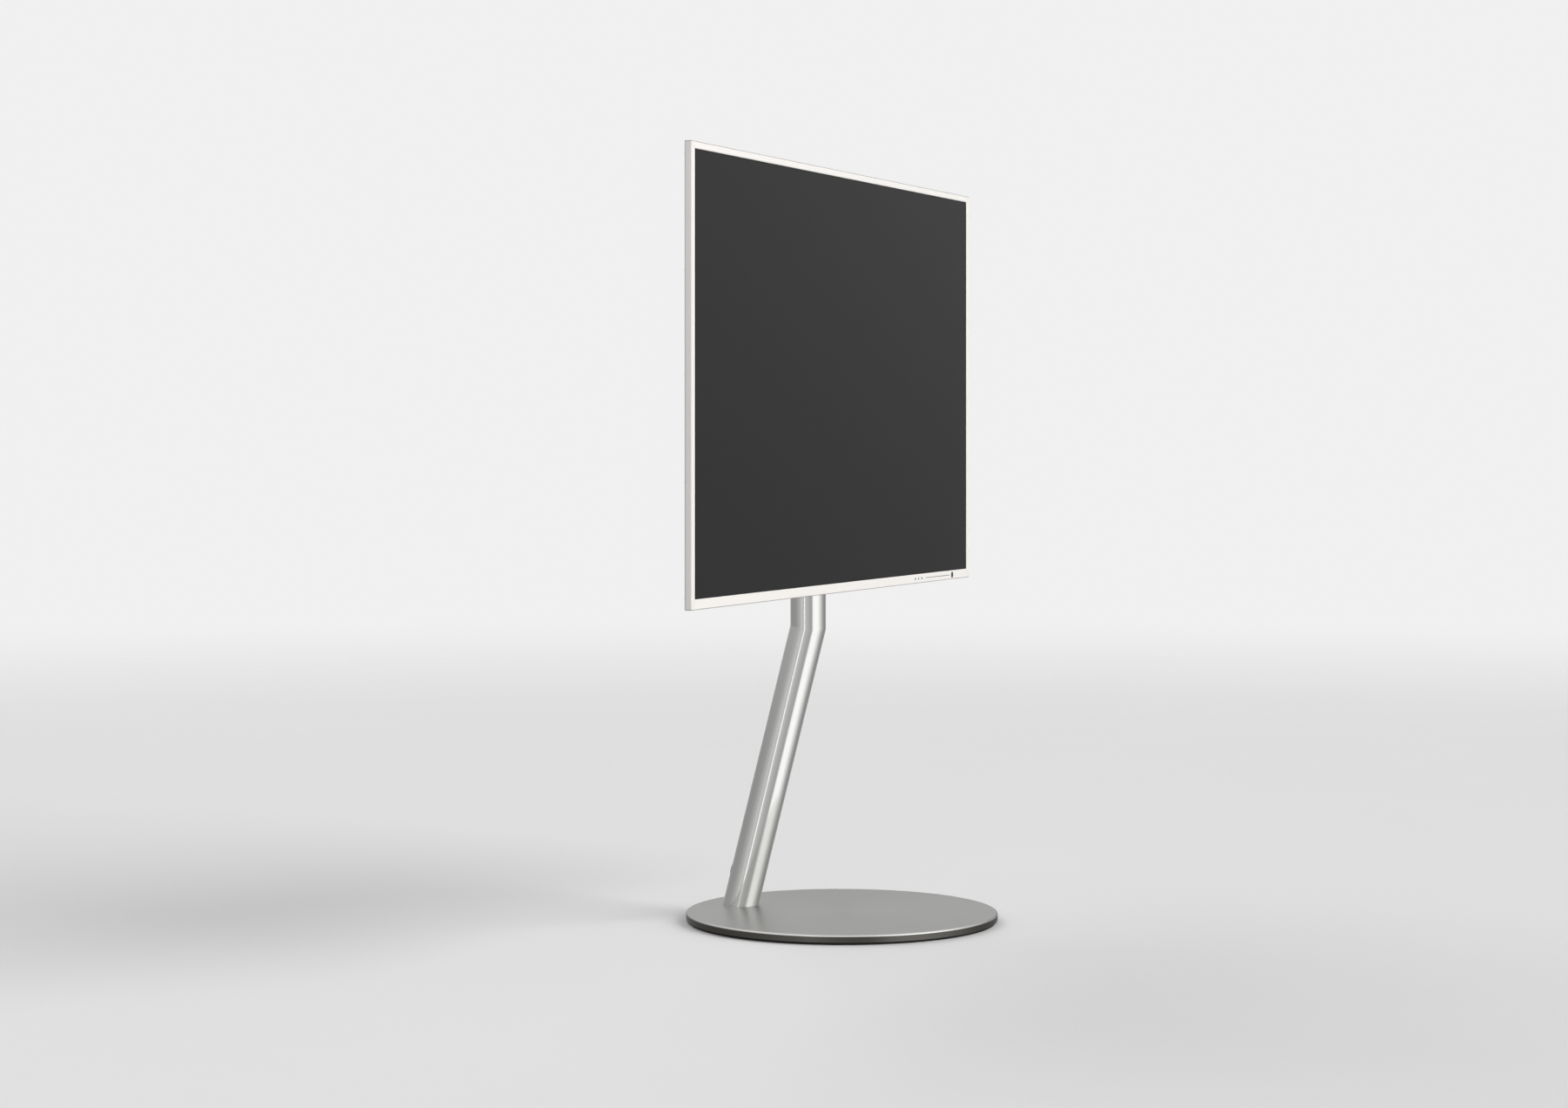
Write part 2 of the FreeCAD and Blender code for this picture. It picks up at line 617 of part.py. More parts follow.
def rear_cover():
    edge = WALL_T + COVER_GAP
    cover = box(-FRAME_X + edge, FRAME_X - edge, COVER_Y, FRAME_BACK_Y,
                FRAME_BOTTOM_Z + edge, FRAME_TOP_Z - edge)
    cuts = [rod(V(x, COVER_Y - 1, z), V(0, 1, 0), COVER_T + 2, COVER_SCREW_R)
            for x, z in all_cover_points()]
    cuts += [rod(V(x, COVER_Y - 1, z), V(0, 1, 0), COVER_T + 2, BOSS_R + BOSS_GAP)
             for x, z in boss_points()]
    cuts += [rod(V(x, COVER_Y - 1, z), V(0, 1, 0), COVER_T + 2, HOUSING_SCREW_R)
             for x, z in housing_screw_points()]
    half = RIBBON_W / 2 + WINDOW_GAP
    cuts += [box(x - half, x + half, COVER_Y - 1, FRAME_BACK_Y + 1, z0, z1)
             for x, z0, z1 in ribbon_windows()]
    cover = cover.cut(Part.makeCompound(cuts))
    dimples = [rod(V(x, KEY_BOARD_Y + KEY_BOARD_T, CONTROL_Z), V(0, 1, 0),
                   KEY_BOARD_STANDOFF, STANDOFF_R) for x in dimple_x()]
    return joined([cover] + dimples)


def dimple_x():
    """Where dimples of the rear cover carry the key board."""
    inset = KEY_BOARD_END / 2
    return [KEY_BOARD_X0 + inset, (BAR_X0 + BAR_X1) / 2, KEY_BOARD_X1 - inset]


# Controls

def round_key(x, radius):
    """Key cap with a flange that stops it falling out of the rail."""
    cap = rod(V(x, KEY_FRONT_Y, CONTROL_Z), V(0, 1, 0), KEY_LENGTH, radius)
    bevel = min(radius / 6, KEY_PROUD)
    cap = cap.makeChamfer(bevel, edges_on_y(cap, KEY_FRONT_Y))
    flange_y = LIP_Y + KEY_GAP
    half_x = radius + KEY_FLANGE_SIDE
    half_z = min(radius, KEY_BOARD_H / 2)
    flange = box(x - half_x, x + half_x, flange_y, flange_y + KEY_FLANGE_T,
                 CONTROL_Z - half_z, CONTROL_Z + half_z)
    return joined([cap, flange])


def light_bar():
    half_h = LIGHT_BAR_H / 2
    half_foot = LIGHT_BAR_FOOT_H / 2
    tongue = box(BAR_X0, BAR_X1, FRAME_FRONT_Y, LIP_Y, CONTROL_Z - half_h, CONTROL_Z + half_h)
    foot = box(BAR_X0 - 1, BAR_X1 + 1, LIP_Y, LIP_Y + LIGHT_BAR_FOOT_T,
               CONTROL_Z - half_foot, CONTROL_Z + half_foot)
    return joined([tongue, foot])


def key_board():
    """Strip board with a switch behind each key and the ribbon connector."""
    half_h = KEY_BOARD_H / 2
    back_y = KEY_BOARD_Y + KEY_BOARD_T
    parts = [box(KEY_BOARD_X0, KEY_BOARD_X1, KEY_BOARD_Y, back_y, CONTROL_Z - half_h,
                 CONTROL_Z + half_h)]
    half = TACT_SIDE / 2
    for x in KEY_X + [POWER_KEY_X]:
        parts.append(box(x - half, x + half, SWITCH_TOP_Y + TACT_STEM, KEY_BOARD_Y,
                         CONTROL_Z - half, CONTROL_Z + half))
        parts.append(rod(V(x, SWITCH_TOP_Y, CONTROL_Z), V(0, 1, 0), TACT_STEM, half / 2))
    ribbon_y = COVER_Y - TRAY_GAP / 2 - RIBBON_T / 2
    half_r = RIBBON_W / 2
    parts.append(box(KEY_RIBBON_X - half_r, KEY_RIBBON_X + half_r, back_y, ribbon_y,
                     CONTROL_Z - half_h, CONTROL_Z))
    return joined(parts)


# Rear housing

def bevelled_lobe(x0, x1, z0, z1, y1, bevel):
    lobe = box(x0, x1, FRAME_BACK_Y, y1, z0, z1)
    return lobe.makeChamfer(bevel, edges_on_y(lobe, y1))


def housing_form(inset):
    """Two deep lobes joined by a flat channel, drawn in by the inset on every free side."""
    x1 = HOUSING_HALF_W - inset
    x0 = CHANNEL_HALF_W + inset
    z0 = HOUSING_Z0 + inset
    z1 = HOUSING_Z1 - inset
    bevel = LOBE_CHAMFER - inset / 2
    left = bevelled_lobe(-x1, -x0, z0, z1, LOBE_Y - inset, bevel)
    right = bevelled_lobe(x0, x1, z0, z1, LOBE_Y - inset, bevel)
    middle = box(-x0 - 1, x0 + 1, FRAME_BACK_Y, CHANNEL_Y - inset, z0, z1)
    return joined([left, middle, right])


def housing_screw_points():
    x_out = HOUSING_HALF_W - HOUSING_SCREW_INSET
    z_low = HOUSING_Z0 + HOUSING_SCREW_INSET
    z_high = HOUSING_Z1 - HOUSING_SCREW_INSET
    x_in = CHANNEL_HALF_W + HOUSING_SCREW_INSET
    return [(x, z) for x in (-x_out, -x_in, x_in, x_out) for z in (z_low, z_high)]


def vent_cuts(sign):
    """Upright vent slots over the boards and level grille slots over a speaker."""
    middle = sign * (CHANNEL_HALF_W + HOUSING_HALF_W) / 2
    depth = SHELL_T + 2
    y0 = LOBE_Y - SHELL_T - 1
    cuts = []
    for step in range(VENT_COUNT):
        x = middle + (step - (VENT_COUNT - 1) / 2) * VENT_PITCH
        z0 = MID_Z - VENT_H / 2
        cuts.append(box(x - VENT_W / 2, x + VENT_W / 2, y0, y0 + depth, z0, z0 + VENT_H))
    grille_z = HOUSING_Z1 - SPEAKER_DROP + SPEAKER_H / 2
    for step in range(GRILLE_COUNT):
        z = grille_z + (step - (GRILLE_COUNT - 1) / 2) * GRILLE_PITCH
        cuts.append(box(middle - GRILLE_W / 2, middle + GRILLE_W / 2, y0, y0 + depth,
                        z - GRILLE_SLOT_H / 2, z + GRILLE_SLOT_H / 2))
    return cuts


def rear_housing():
    shell = housing_form(0)
    hollow = housing_form(SHELL_T)
    shell = shell.cut(hollow)
    seat_y = FRAME_BACK_Y + HOUSING_SCREW_SEAT
    posts = [rod(V(x, FRAME_BACK_Y, z), V(0, 1, 0), LOBE_DEPTH - SHELL_T / 2, HOUSING_POST_R)
             for x, z in housing_screw_points()]
    shell = joined([shell] + posts)
    cuts = []
    for x, z in housing_screw_points():
        cuts.append(rod(V(x, FRAME_BACK_Y - 1, z), V(0, 1, 0), LOBE_DEPTH + 2, HOUSING_SCREW_R))
        cuts.append(rod(V(x, seat_y, z), V(0, 1, 0), LOBE_DEPTH, HOUSING_HEAD_R + HEAD_GAP))
    cuts += [rod(V(x, FRAME_BACK_Y - 1, z), V(0, 1, 0), CHANNEL_DEPTH + 2, BOSS_R + BOSS_GAP)
             for x, z in boss_points()]
    cuts += vent_cuts(-1) + vent_cuts(1)
    low_z = HOUSING_Z0 - 1
    high_z = HOUSING_Z0 + SHELL_T + 1
    mid_y = FRAME_BACK_Y + SOCKET_Y
    for x, width, depth in ((INLET_X, INLET_W, INLET_D), (SWITCH_X, SWITCH_W, SWITCH_D),
                            (PANEL_X, PANEL_W - 2 * PANEL_EDGE, PANEL_D - 2 * PANEL_LEDGE)):
        cuts.append(box(x - width / 2, x + width / 2, mid_y - depth / 2, mid_y + depth / 2,
                        low_z, high_z))
    cuts += [rod(V(x, mid_y, low_z), V(0, 0, 1), high_z - low_z, HOUSING_SCREW_R)
             for x in panel_screw_x()]
    return shell.cut(Part.makeCompound(cuts))


def housing_screws():
    seat_y = FRAME_BACK_Y + HOUSING_SCREW_SEAT
    solids = []
    for x, z in housing_screw_points():
        head = rod(V(x, seat_y, z), V(0, 1, 0), HOUSING_HEAD_T, HOUSING_HEAD_R)
        shank = rod(V(x, COVER_Y, z), V(0, 1, 0), seat_y - COVER_Y, HOUSING_SCREW_R)
        solids.append(joined([head, shank]))
    return solids


# Boards, speakers and sockets

def board_hole_points(x0, x1, z0, z1):
    inset = BOARD_HOLE_INSET
    return [(x, z) for x in (x0 + inset, x1 - inset) for z in (z0 + inset, z1 - inset)]


def power_board_area():
    z0 = HOUSING_Z0 + POWER_BOARD_RISE
    return -BOARD_NEAR_X - BOARD_W, -BOARD_NEAR_X, z0, z0 + POWER_BOARD_H


def main_board_area():
    z0 = HOUSING_Z0 + MAIN_BOARD_RISE
    return BOARD_NEAR_X, BOARD_NEAR_X + BOARD_W, z0, z0 + MAIN_BOARD_H


def touch_board_area():
    z0 = HOUSING_Z0 + TOUCH_BOARD_RISE
    x0 = TOUCH_RIBBON_X - TOUCH_BOARD_W / 2
    return x0, x0 + TOUCH_BOARD_W, z0, z0 + TOUCH_BOARD_H


def bare_board(area):
    x0, x1, z0, z1 = area
    board = box(x0, x1, PCB_Y, PCB_TOP_Y, z0, z1)
    holes = [rod(V(x, PCB_Y - 1, z), V(0, 1, 0), PCB_T + 2, BOARD_SCREW_R)
             for x, z in board_hole_points(*area)]
    return board.cut(Part.makeCompound(holes))


def on_board(area, left, low, width, height, rise):
    """Box-shaped component, placed from the board's lower left corner."""
    x0 = area[0] + left
    z0 = area[2] + low
    return box(x0, x0 + width, PCB_TOP_Y, PCB_TOP_Y + rise, z0, z0 + height)


def standing_cap(area, left, low, radius, rise):
    return rod(V(area[0] + left, PCB_TOP_Y, area[2] + low), V(0, 1, 0), rise, radius)


def power_board():
    area = power_board_area()
    parts = [bare_board(area)]
    parts += [on_board(area, *sizes) for sizes in POWER_PARTS]
    parts += [standing_cap(area, *sizes) for sizes in POWER_CAPS]
    return joined(parts)


def ribbon_plug(x, exit_z):
    """Plug under a board that holds the end of a ribbon."""
    half = RIBBON_W / 2
    ribbon_y = FRAME_BACK_Y + RIBBON_OUT_Y + RIBBON_T / 2
    top = exit_z + RIBBON_RISE
    return box(x - half, x + half, ribbon_y, PCB_Y, top - RIBBON_PLUG_H, top)


def port_x(step):
    return PANEL_X + (step - (len(PORT_SIZES) - 1) / 2) * PORT_PITCH


def main_board():
    area = main_board_area()
    parts = [bare_board(area), ribbon_plug(KEY_RIBBON_X, KEY_RIBBON_EXIT_Z)]
    for step, (width, rise) in enumerate(PORT_SIZES):
        left = port_x(step) - width / 2 - area[0]
        parts.append(on_board(area, left, -PORT_REACH, width, PORT_LENGTH, rise))
    parts += [on_board(area, *sizes) for sizes in MAIN_PARTS + [SIGNAL_PLUG, DC_PLUG]]
    parts += [standing_cap(area, *sizes) for sizes in MAIN_CAPS]
    return joined(parts)


def touch_board():
    area = touch_board_area()
    parts = [bare_board(area), ribbon_plug(TOUCH_RIBBON_X, TOUCH_RIBBON_EXIT_Z)]
    parts += [on_board(area, *sizes) for sizes in TOUCH_PARTS]
    return joined(parts)


def timing_board():
    """Thin board glued flat on the rear cover inside the channel."""
    half = TIMING_BOARD_W / 2
    z0 = HOUSING_Z1 - TIMING_BOARD_DROP
    z1 = z0 + TIMING_BOARD_H
    mid_z = (z0 + z1) / 2
    y1 = FRAME_BACK_Y + PCB_T
    half_chip = CHIP_SIDE / 2
    half_plug = TIMING_PLUG_H / 2
    parts = [box(-half, half, FRAME_BACK_Y, y1, z0, z1)]
    parts += [box(x - half_chip, x + half_chip, y1, y1 + CHIP_T, mid_z - half_chip,
                  mid_z + half_chip) for x in CHIP_X]
    parts.append(box(half - TIMING_PLUG_W, half, y1, y1 + TIMING_PLUG_T, mid_z - half_plug,
                     mid_z + half_plug))
    return joined(parts)


def standoff_points():
    areas = (power_board_area(), main_board_area(), touch_board_area())
    return [point for area in areas for point in board_hole_points(*area)]


def board_standoffs():
    return [pipe(V(x, FRAME_BACK_Y, z), V(0, 1, 0), PCB_STANDOFF, STANDOFF_R, BOARD_SCREW_R)
            for x, z in standoff_points()]


def board_screws():
    solids = []
    for x, z in standoff_points():
        head = rod(V(x, PCB_TOP_Y, z), V(0, 1, 0), BOARD_HEAD_T, BOARD_HEAD_R)
        shank = rod(V(x, FRAME_BACK_Y, z), V(0, 1, 0), PCB_TOP_Y - FRAME_BACK_Y, BOARD_SCREW_R)
        solids.append(joined([head, shank]))
    return solids


def speakers():
    solids = []
    back_y = LOBE_Y - SHELL_T
    z0 = HOUSING_Z1 - SPEAKER_DROP
    mid_z = z0 + SPEAKER_H / 2
    for sign in (-1, 1):
        middle = sign * (CHANNEL_HALF_W + HOUSING_HALF_W) / 2
        body = box(middle - SPEAKER_W / 2, middle + SPEAKER_W / 2, back_y - SPEAKER_DEPTH,
                   back_y, z0, z0 + SPEAKER_H)
        for offset in (-SPEAKER_W / 4, SPEAKER_W / 4):
            cone = V(middle + offset, back_y - CONE_DEPTH, mid_z)
            body = body.cut(rod(cone, V(0, 1, 0), CONE_DEPTH * 2, SPEAKER_R))
        solids.append(body)
    return solids


def inlet_socket():
    """Three-pin mains inlet facing down, flange outside, body inside."""
    mid_y = FRAME_BACK_Y + SOCKET_Y
    half_w = INLET_W / 2
    half_d = INLET_D / 2
    body = box(INLET_X - half_w, INLET_X + half_w, mid_y - half_d, mid_y + half_d,
               HOUSING_Z0, HOUSING_Z0 + INLET_H)
    reach = INLET_FLANGE
    flange = box(INLET_X - half_w - reach, INLET_X + half_w + reach, mid_y - half_d - reach,
                 mid_y + half_d + reach, HOUSING_Z0 - reach, HOUSING_Z0)
    shell = joined([body, flange])
    low = HOUSING_Z0 - reach
    shell = shell.cut(box(INLET_X - INLET_HOLE_W / 2, INLET_X + INLET_HOLE_W / 2,
                          mid_y - INLET_HOLE_D / 2, mid_y + INLET_HOLE_D / 2,
                          low - 1, low + INLET_HOLE_H))
    pins = []
    for offset_x, offset_y in INLET_PINS:
        pin_x = INLET_X + offset_x
        pin_y = mid_y + offset_y
        pins.append(box(pin_x - PIN_HALF_W, pin_x + PIN_HALF_W, pin_y - PIN_HALF_D,
                        pin_y + PIN_HALF_D, low + PIN_SET_BACK, low + INLET_HOLE_H))
    return joined([shell] + pins)


def rocker_pivot():
    return V(SWITCH_X, FRAME_BACK_Y + SOCKET_Y, HOUSING_Z0 + ROCKER_PIVOT_RISE)


def rocker():
    """Two-faced rocker with its pivot pins, standing at the end of its travel."""
    pivot = rocker_pivot()
    drop = ROCKER_PIVOT_RISE + INLET_FLANGE
    tilt = math.radians(ROCKER_TILT)
    free_w = SWITCH_W / 2 - SWITCH_WALL_T - KEY_GAP
    half_w = (free_w - drop * math.sin(tilt)) / math.cos(tilt)
    half_d = SWITCH_D / 2 - SWITCH_WALL_T - KEY_GAP
    face_rise = half_w * math.tan(tilt)
    outline = [(-half_w, -drop), (0, -drop + face_rise), (half_w, -drop),
               (half_w * ROCKER_TAPER, ROCKER_TOP), (-half_w * ROCKER_TAPER, ROCKER_TOP)]
    points = [V(pivot.x + x, pivot.y - half_d, pivot.z + z) for x, z in outline]
    body = Part.Face(Part.makePolygon(points + points[:1])).extrude(V(0, 2 * half_d, 0))
    pin_half = SWITCH_D / 2 - SWITCH_WALL_T / 3   # pins reach most of the way into the walls
    pins = rod(pivot - V(0, pin_half, 0), V(0, 1, 0), 2 * pin_half, ROCKER_PIN_R)
    whole = joined([body, pins])
    whole.rotate(pivot, V(0, 1, 0), ROCKER_TILT)
    return whole


def switch_body():
    mid_y = FRAME_BACK_Y + SOCKET_Y
    half_w = SWITCH_W / 2
    half_d = SWITCH_D / 2
    body = box(SWITCH_X - half_w, SWITCH_X + half_w, mid_y - half_d, mid_y + half_d,
               HOUSING_Z0, HOUSING_Z0 + SWITCH_H)
    reach = INLET_FLANGE
    flange = box(SWITCH_X - half_w - reach, SWITCH_X + half_w + reach, mid_y - half_d - reach,
                 mid_y + half_d + reach, HOUSING_Z0 - reach, HOUSING_Z0)
    wall = SWITCH_WALL_T
    well = box(SWITCH_X - half_w + wall, SWITCH_X + half_w - wall, mid_y - half_d + wall,
               mid_y + half_d - wall, HOUSING_Z0 - reach - 1, HOUSING_Z0 + SWITCH_H - SWITCH_ROOF_T)
    pin_hole = rod(rocker_pivot() - V(0, half_d - wall / 3 + PIN_CLEARANCE, 0), V(0, 1, 0),
                   2 * (half_d - wall / 3 + PIN_CLEARANCE), ROCKER_PIN_R + PIN_CLEARANCE)
    return joined([body, flange]).cut(well).cut(pin_hole)


def port_panel():
    """Steel plate inside the housing floor with an opening for each connector."""
    mid_y = FRAME_BACK_Y + SOCKET_Y
    z0 = HOUSING_Z0 + SHELL_T
    panel = box(PANEL_X - PANEL_W / 2, PANEL_X + PANEL_W / 2, mid_y - PANEL_D / 2,
                mid_y + PANEL_D / 2, z0, z0 + PANEL_T)
    gap = PORT_GAP
    cuts = []
    for step, (width, rise) in enumerate(PORT_SIZES):
        x = port_x(step)
        cuts.append(box(x - width / 2 - gap, x + width / 2 + gap, PCB_TOP_Y - gap,
                        PCB_TOP_Y + rise + gap, z0 - 1, z0 + PANEL_T + 1))
    for x in panel_screw_x():
        cuts.append(rod(V(x, mid_y, z0 - 1), V(0, 0, 1), PANEL_T + 2, HOUSING_SCREW_R))
    return panel.cut(Part.makeCompound(cuts))


def panel_screw_x():
    reach = PANEL_W / 2 - PANEL_EDGE / 2
    return (PANEL_X - reach, PANEL_X + reach)


def panel_screws():
    solids = []
    mid_y = FRAME_BACK_Y + SOCKET_Y
    for x in panel_screw_x():
        head = rod(V(x, mid_y, HOUSING_Z0 - HOUSING_HEAD_T), V(0, 0, 1), HOUSING_HEAD_T,
                   HOUSING_HEAD_R)
        shank = rod(V(x, mid_y, HOUSING_Z0), V(0, 0, 1), SHELL_T + PANEL_T + 2, HOUSING_SCREW_R)
        solids.append(joined([head, shank]))
    return solids


# Internal cables

def panel_ribbons():
    """Two flat ribbons from the timing board up to the cell's upper edge."""
    solids = []
    board_top = HOUSING_Z1 - TIMING_BOARD_DROP + TIMING_BOARD_H
    out_y = FRAME_BACK_Y + PCB_T + RIBBON_T / 2
    in_y = COVER_Y - TRAY_GAP / 2
    for x in (-TIMING_BOARD_W / 4, TIMING_BOARD_W / 4):
        slope_z = board_top + RIBBON_LEAD_IN
        points = [(out_y, board_top - PANEL_RIBBON_LAP), (out_y, slope_z),
                  (in_y, slope_z + PANEL_SLOPE), (in_y, VIEW_Z1)]
        solids.append(ribbon(x, points))
    return solids


def board_ribbon(x, start_z, exit_z):
    """Ribbon that runs up behind the tray, then out through its window to a board."""
    in_y = COVER_Y - TRAY_GAP / 2
    out_y = FRAME_BACK_Y + RIBBON_OUT_Y
    slope_z = exit_z - RIBBON_LEAD_IN
    points = [(in_y, start_z), (in_y, slope_z), (out_y, slope_z + RIBBON_SLOPE),
              (out_y, exit_z + RIBBON_RISE)]
    return ribbon(x, points)


def mains_harness():
    mid_y = FRAME_BACK_Y + SOCKET_Y
    area = power_board_area()
    end_x = area[0] + MAINS_END_X
    end_y = PCB_TOP_Y + MAINS_CABLE_R + CABLE_GAP
    z0 = HOUSING_Z0 + INLET_H
    z1 = area[2]
    rise = z1 - z0
    points = [V(INLET_X, mid_y, z0), V(INLET_X, mid_y, z0 + rise * MAINS_LEAD_IN),
              V(end_x, end_y, z1 - rise * MAINS_LEAD_IN), V(end_x, end_y, z1)]
    return cable(points, MAINS_CABLE_R, MAINS_CABLE_R + CABLE_GAP)


def dc_harness():
    """Supply cable across the channel from the power board to the main board."""
    z = main_board_area()[2] + DC_PLUG[1] + DC_PLUG[3] / 2
    high_y = PCB_TOP_Y + DC_PLUG[4] / 2
    low_y = FRAME_BACK_Y + (CHANNEL_DEPTH - SHELL_T) / 2
    end = BOARD_NEAR_X
    high_end = end - DC_LEAD_IN
    low_end = high_end - DC_SLOPE
    points = [V(-end, high_y, z), V(-high_end, high_y, z), V(-low_end, low_y, z),
              V(low_end, low_y, z), V(high_end, high_y, z), V(end, high_y, z)]
    return cable(points, DC_CABLE_R, DC_BEND_R)


def signal_cable():
    """Video cable from the timing board round to the top of the main board."""
    area = main_board_area()
    z_start = HOUSING_Z1 - TIMING_BOARD_DROP + TIMING_BOARD_H / 2
    z_end = area[2] + SIGNAL_PLUG[1] + SIGNAL_PLUG[3]
    z_slope = z_end + SIGNAL_LEAD_IN
    low_y = FRAME_BACK_Y + SIGNAL_CABLE_R + CABLE_GAP
    high_y = PCB_TOP_Y + SIGNAL_CABLE_R + CABLE_GAP
    x0 = TIMING_BOARD_W / 2
    x1 = area[0] + SIGNAL_PLUG[2] / 2
    points = [V(x0, low_y, z_start), V(x1, low_y, z_start),
              V(x1, low_y, z_slope + SIGNAL_SLOPE), V(x1, high_y, z_slope),
              V(x1, high_y, z_end)]
    return cable(points, SIGNAL_CABLE_R, SIGNAL_BEND_R)


# Mounting plate and swivel

def mounting_bosses():
    solids = []
    for x, z in boss_points():
        boss = rod(V(x, TRAY_BACK_Y, z), V(0, 1, 0), CHANNEL_Y - TRAY_BACK_Y, BOSS_R)
        hole = rod(V(x, COVER_Y, z), V(0, 1, 0), CHANNEL_Y, M6_R)
        solids.append(boss.cut(hole))
    return solids


def saddle_levels():
    edge = SLEEVE_LENGTH / 2 - SADDLE_H
    return [MID_Z - edge, MID_Z + edge]


def saddle_screw_points():
    return [(x, z) for x in (-SADDLE_SCREW_X, SADDLE_SCREW_X) for z in saddle_levels()]


def countersunk(x, z, reach):
    """Countersunk screw from the plate's front face back towards the column."""
    start = V(x, CHANNEL_Y, z)
    head = Part.makeCone(COUNTERSINK_R, M6_R, COUNTERSINK_DEPTH, start, V(0, 1, 0))
    return joined([head, rod(start, V(0, 1, 0), reach, M6_R)])


def mount_plate():
    half = PLATE_SIDE / 2
    cut = PLATE_CORNER
    corners = [(-half + cut, -half), (half - cut, -half), (half, -half + cut),
               (half, half - cut), (half - cut, half), (-half + cut, half),
               (-half, half - cut), (-half, -half + cut)]
    plate = prism([(x, MID_Z + z) for x, z in corners], CHANNEL_Y, PLATE_BACK_Y)
    cuts = [rod(V(x, CHANNEL_Y - 1, z), V(0, 1, 0), PLATE_T + 2, M6_R) for x, z in boss_points()]
    cuts += [countersunk(x, z, PLATE_T + 1) for x, z in saddle_screw_points()]
    return plate.cut(Part.makeCompound(cuts))


def vesa_screws():
    solids = []
    for x, z in boss_points():
        head = rod(V(x, PLATE_BACK_Y, z), V(0, 1, 0), VESA_HEAD_T, VESA_HEAD_R)
        socket = rod(V(x, PLATE_BACK_Y + VESA_HEAD_T / 2, z), V(0, 1, 0), VESA_HEAD_T, M6_R * 0.6)
        shank_y = COVER_Y + 1
        shank = rod(V(x, shank_y, z), V(0, 1, 0), PLATE_BACK_Y - shank_y, M6_R)
        solids.append(joined([head.cut(socket), shank]))
    return solids


def saddle_screws():
    return [countersunk(x, z, SADDLE_SCREW_LENGTH) for x, z in saddle_screw_points()]


def sector(inner_r, outer_r, half_angle, z0, z1):
    """Ring piece behind the column, centred on +Y."""
    ring = pipe(V(0, AXIS_Y, z0), V(0, 0, 1), z1 - z0, outer_r, inner_r)
    reach = outer_r * 2
    angle = math.radians(half_angle)
    corners = [V(0, AXIS_Y, z0), V(-reach * math.sin(angle), AXIS_Y + reach * math.cos(angle), z0),
               V(reach * math.sin(angle), AXIS_Y + reach * math.cos(angle), z0)]
    wedge = Part.Face(Part.makePolygon(corners + corners[:1])).extrude(V(0, 0, z1 - z0))
    return ring.common(wedge)


def swivel_sleeve():
    """Sleeve round the column with two saddles for the plate and the stop slot."""
    start = V(0, AXIS_Y, SLEEVE_Z0)
    up = V(0, 0, 1)
    parts = [rod(start, up, SLEEVE_LENGTH, SLEEVE_R)]
    half_w = SADDLE_W / 2
    for z in saddle_levels():
        parts.append(box(-half_w, half_w, PLATE_BACK_Y, AXIS_Y - SLEEVE_R * 0.3,
                         z - SADDLE_H / 2, z + SADDLE_H / 2))
    body = joined(parts).cut(rod(start, up, SLEEVE_LENGTH, SLEEVE_BORE_R))
    slot_half = SWIVEL_LIMIT + math.degrees(math.asin((STOP_PIN_R + THRUST_GAP) / SLEEVE_BORE_R))
    slot_z = SLEEVE_Z0 + STOP_RISE
    body = body.cut(sector(TUBE_R, SLEEVE_R + 1, slot_half, slot_z - STOP_PIN_R - THRUST_GAP,
                           slot_z + STOP_PIN_R + THRUST_GAP))
    holes = [rod(V(x, PLATE_BACK_Y - 1, z), V(0, 1, 0), SADDLE_SCREW_LENGTH - PLATE_T + 2, M6_R)
             for x, z in saddle_screw_points()]
    return body.cut(Part.makeCompound(holes))


def bushes():
    solids = []
    bore = TUBE_R + RUNNING_CLEARANCE
    for z, up in ((SLEEVE_Z0, V(0, 0, 1)), (SLEEVE_Z1, V(0, 0, -1))):
        start = V(0, AXIS_Y, z)
        body = pipe(start, up, BUSH_LENGTH, SLEEVE_BORE_R, bore)
        flange = pipe(start, up * -1, BUSH_FLANGE_T, SLEEVE_BORE_R + BUSH_FLANGE_R, bore)
        solids.append(joined([body, flange]))
    return solids


def stop_pin():
    """Pin pressed into the column wall, riding in the sleeve's slot."""
    z = SLEEVE_Z0 + STOP_RISE
    length = TUBE_T + SLEEVE_R + STOP_PIN_HEAD - TUBE_R
    return rod(V(0, AXIS_Y + TUBE_BORE_R, z), V(0, 1, 0), length, STOP_PIN_R)


def support_collar():
    start = V(0, AXIS_Y, COLLAR_Z0)
    up = V(0, 0, 1)
    collar = pipe(start, up, COLLAR_H, TUBE_R + COLLAR_T, TUBE_R)
    for angle in SET_SCREW_ANGLES:
        collar = collar.cut(set_screw_rod(angle, COLLAR_T + 1))
    return collar


def set_screw_rod(angle, length):
    out = V(math.cos(math.radians(angle)), math.sin(math.radians(angle)), 0)
    return rod(V(0, AXIS_Y, COLLAR_Z0 + COLLAR_H / 2) + out * TUBE_R, out, length, SET_SCREW_R)


def set_screws():
    return [set_screw_rod(angle, SET_SCREW_LENGTH).common(
        rod(V(0, AXIS_Y, COLLAR_Z0), V(0, 0, 1), COLLAR_H, TUBE_R + COLLAR_T)).cut(
        rod(V(0, AXIS_Y, COLLAR_Z0), V(0, 0, 1), COLLAR_H, TUBE_R)) for angle in SET_SCREW_ANGLES]


# Column

def kink_side(upper):
    """Big block on one side of the plane that halves the kink."""
    reach = BASE_R * 4
    block = Part.makeBox(reach, reach, reach, V(-reach / 2, -reach / 2, 0 if upper else -reach))
    block.rotate(V(0, 0, 0), V(1, 0, 0), math.degrees(LEAN) / 2)
    block.translate(V(0, AXIS_Y, KINK_Z))
    return block


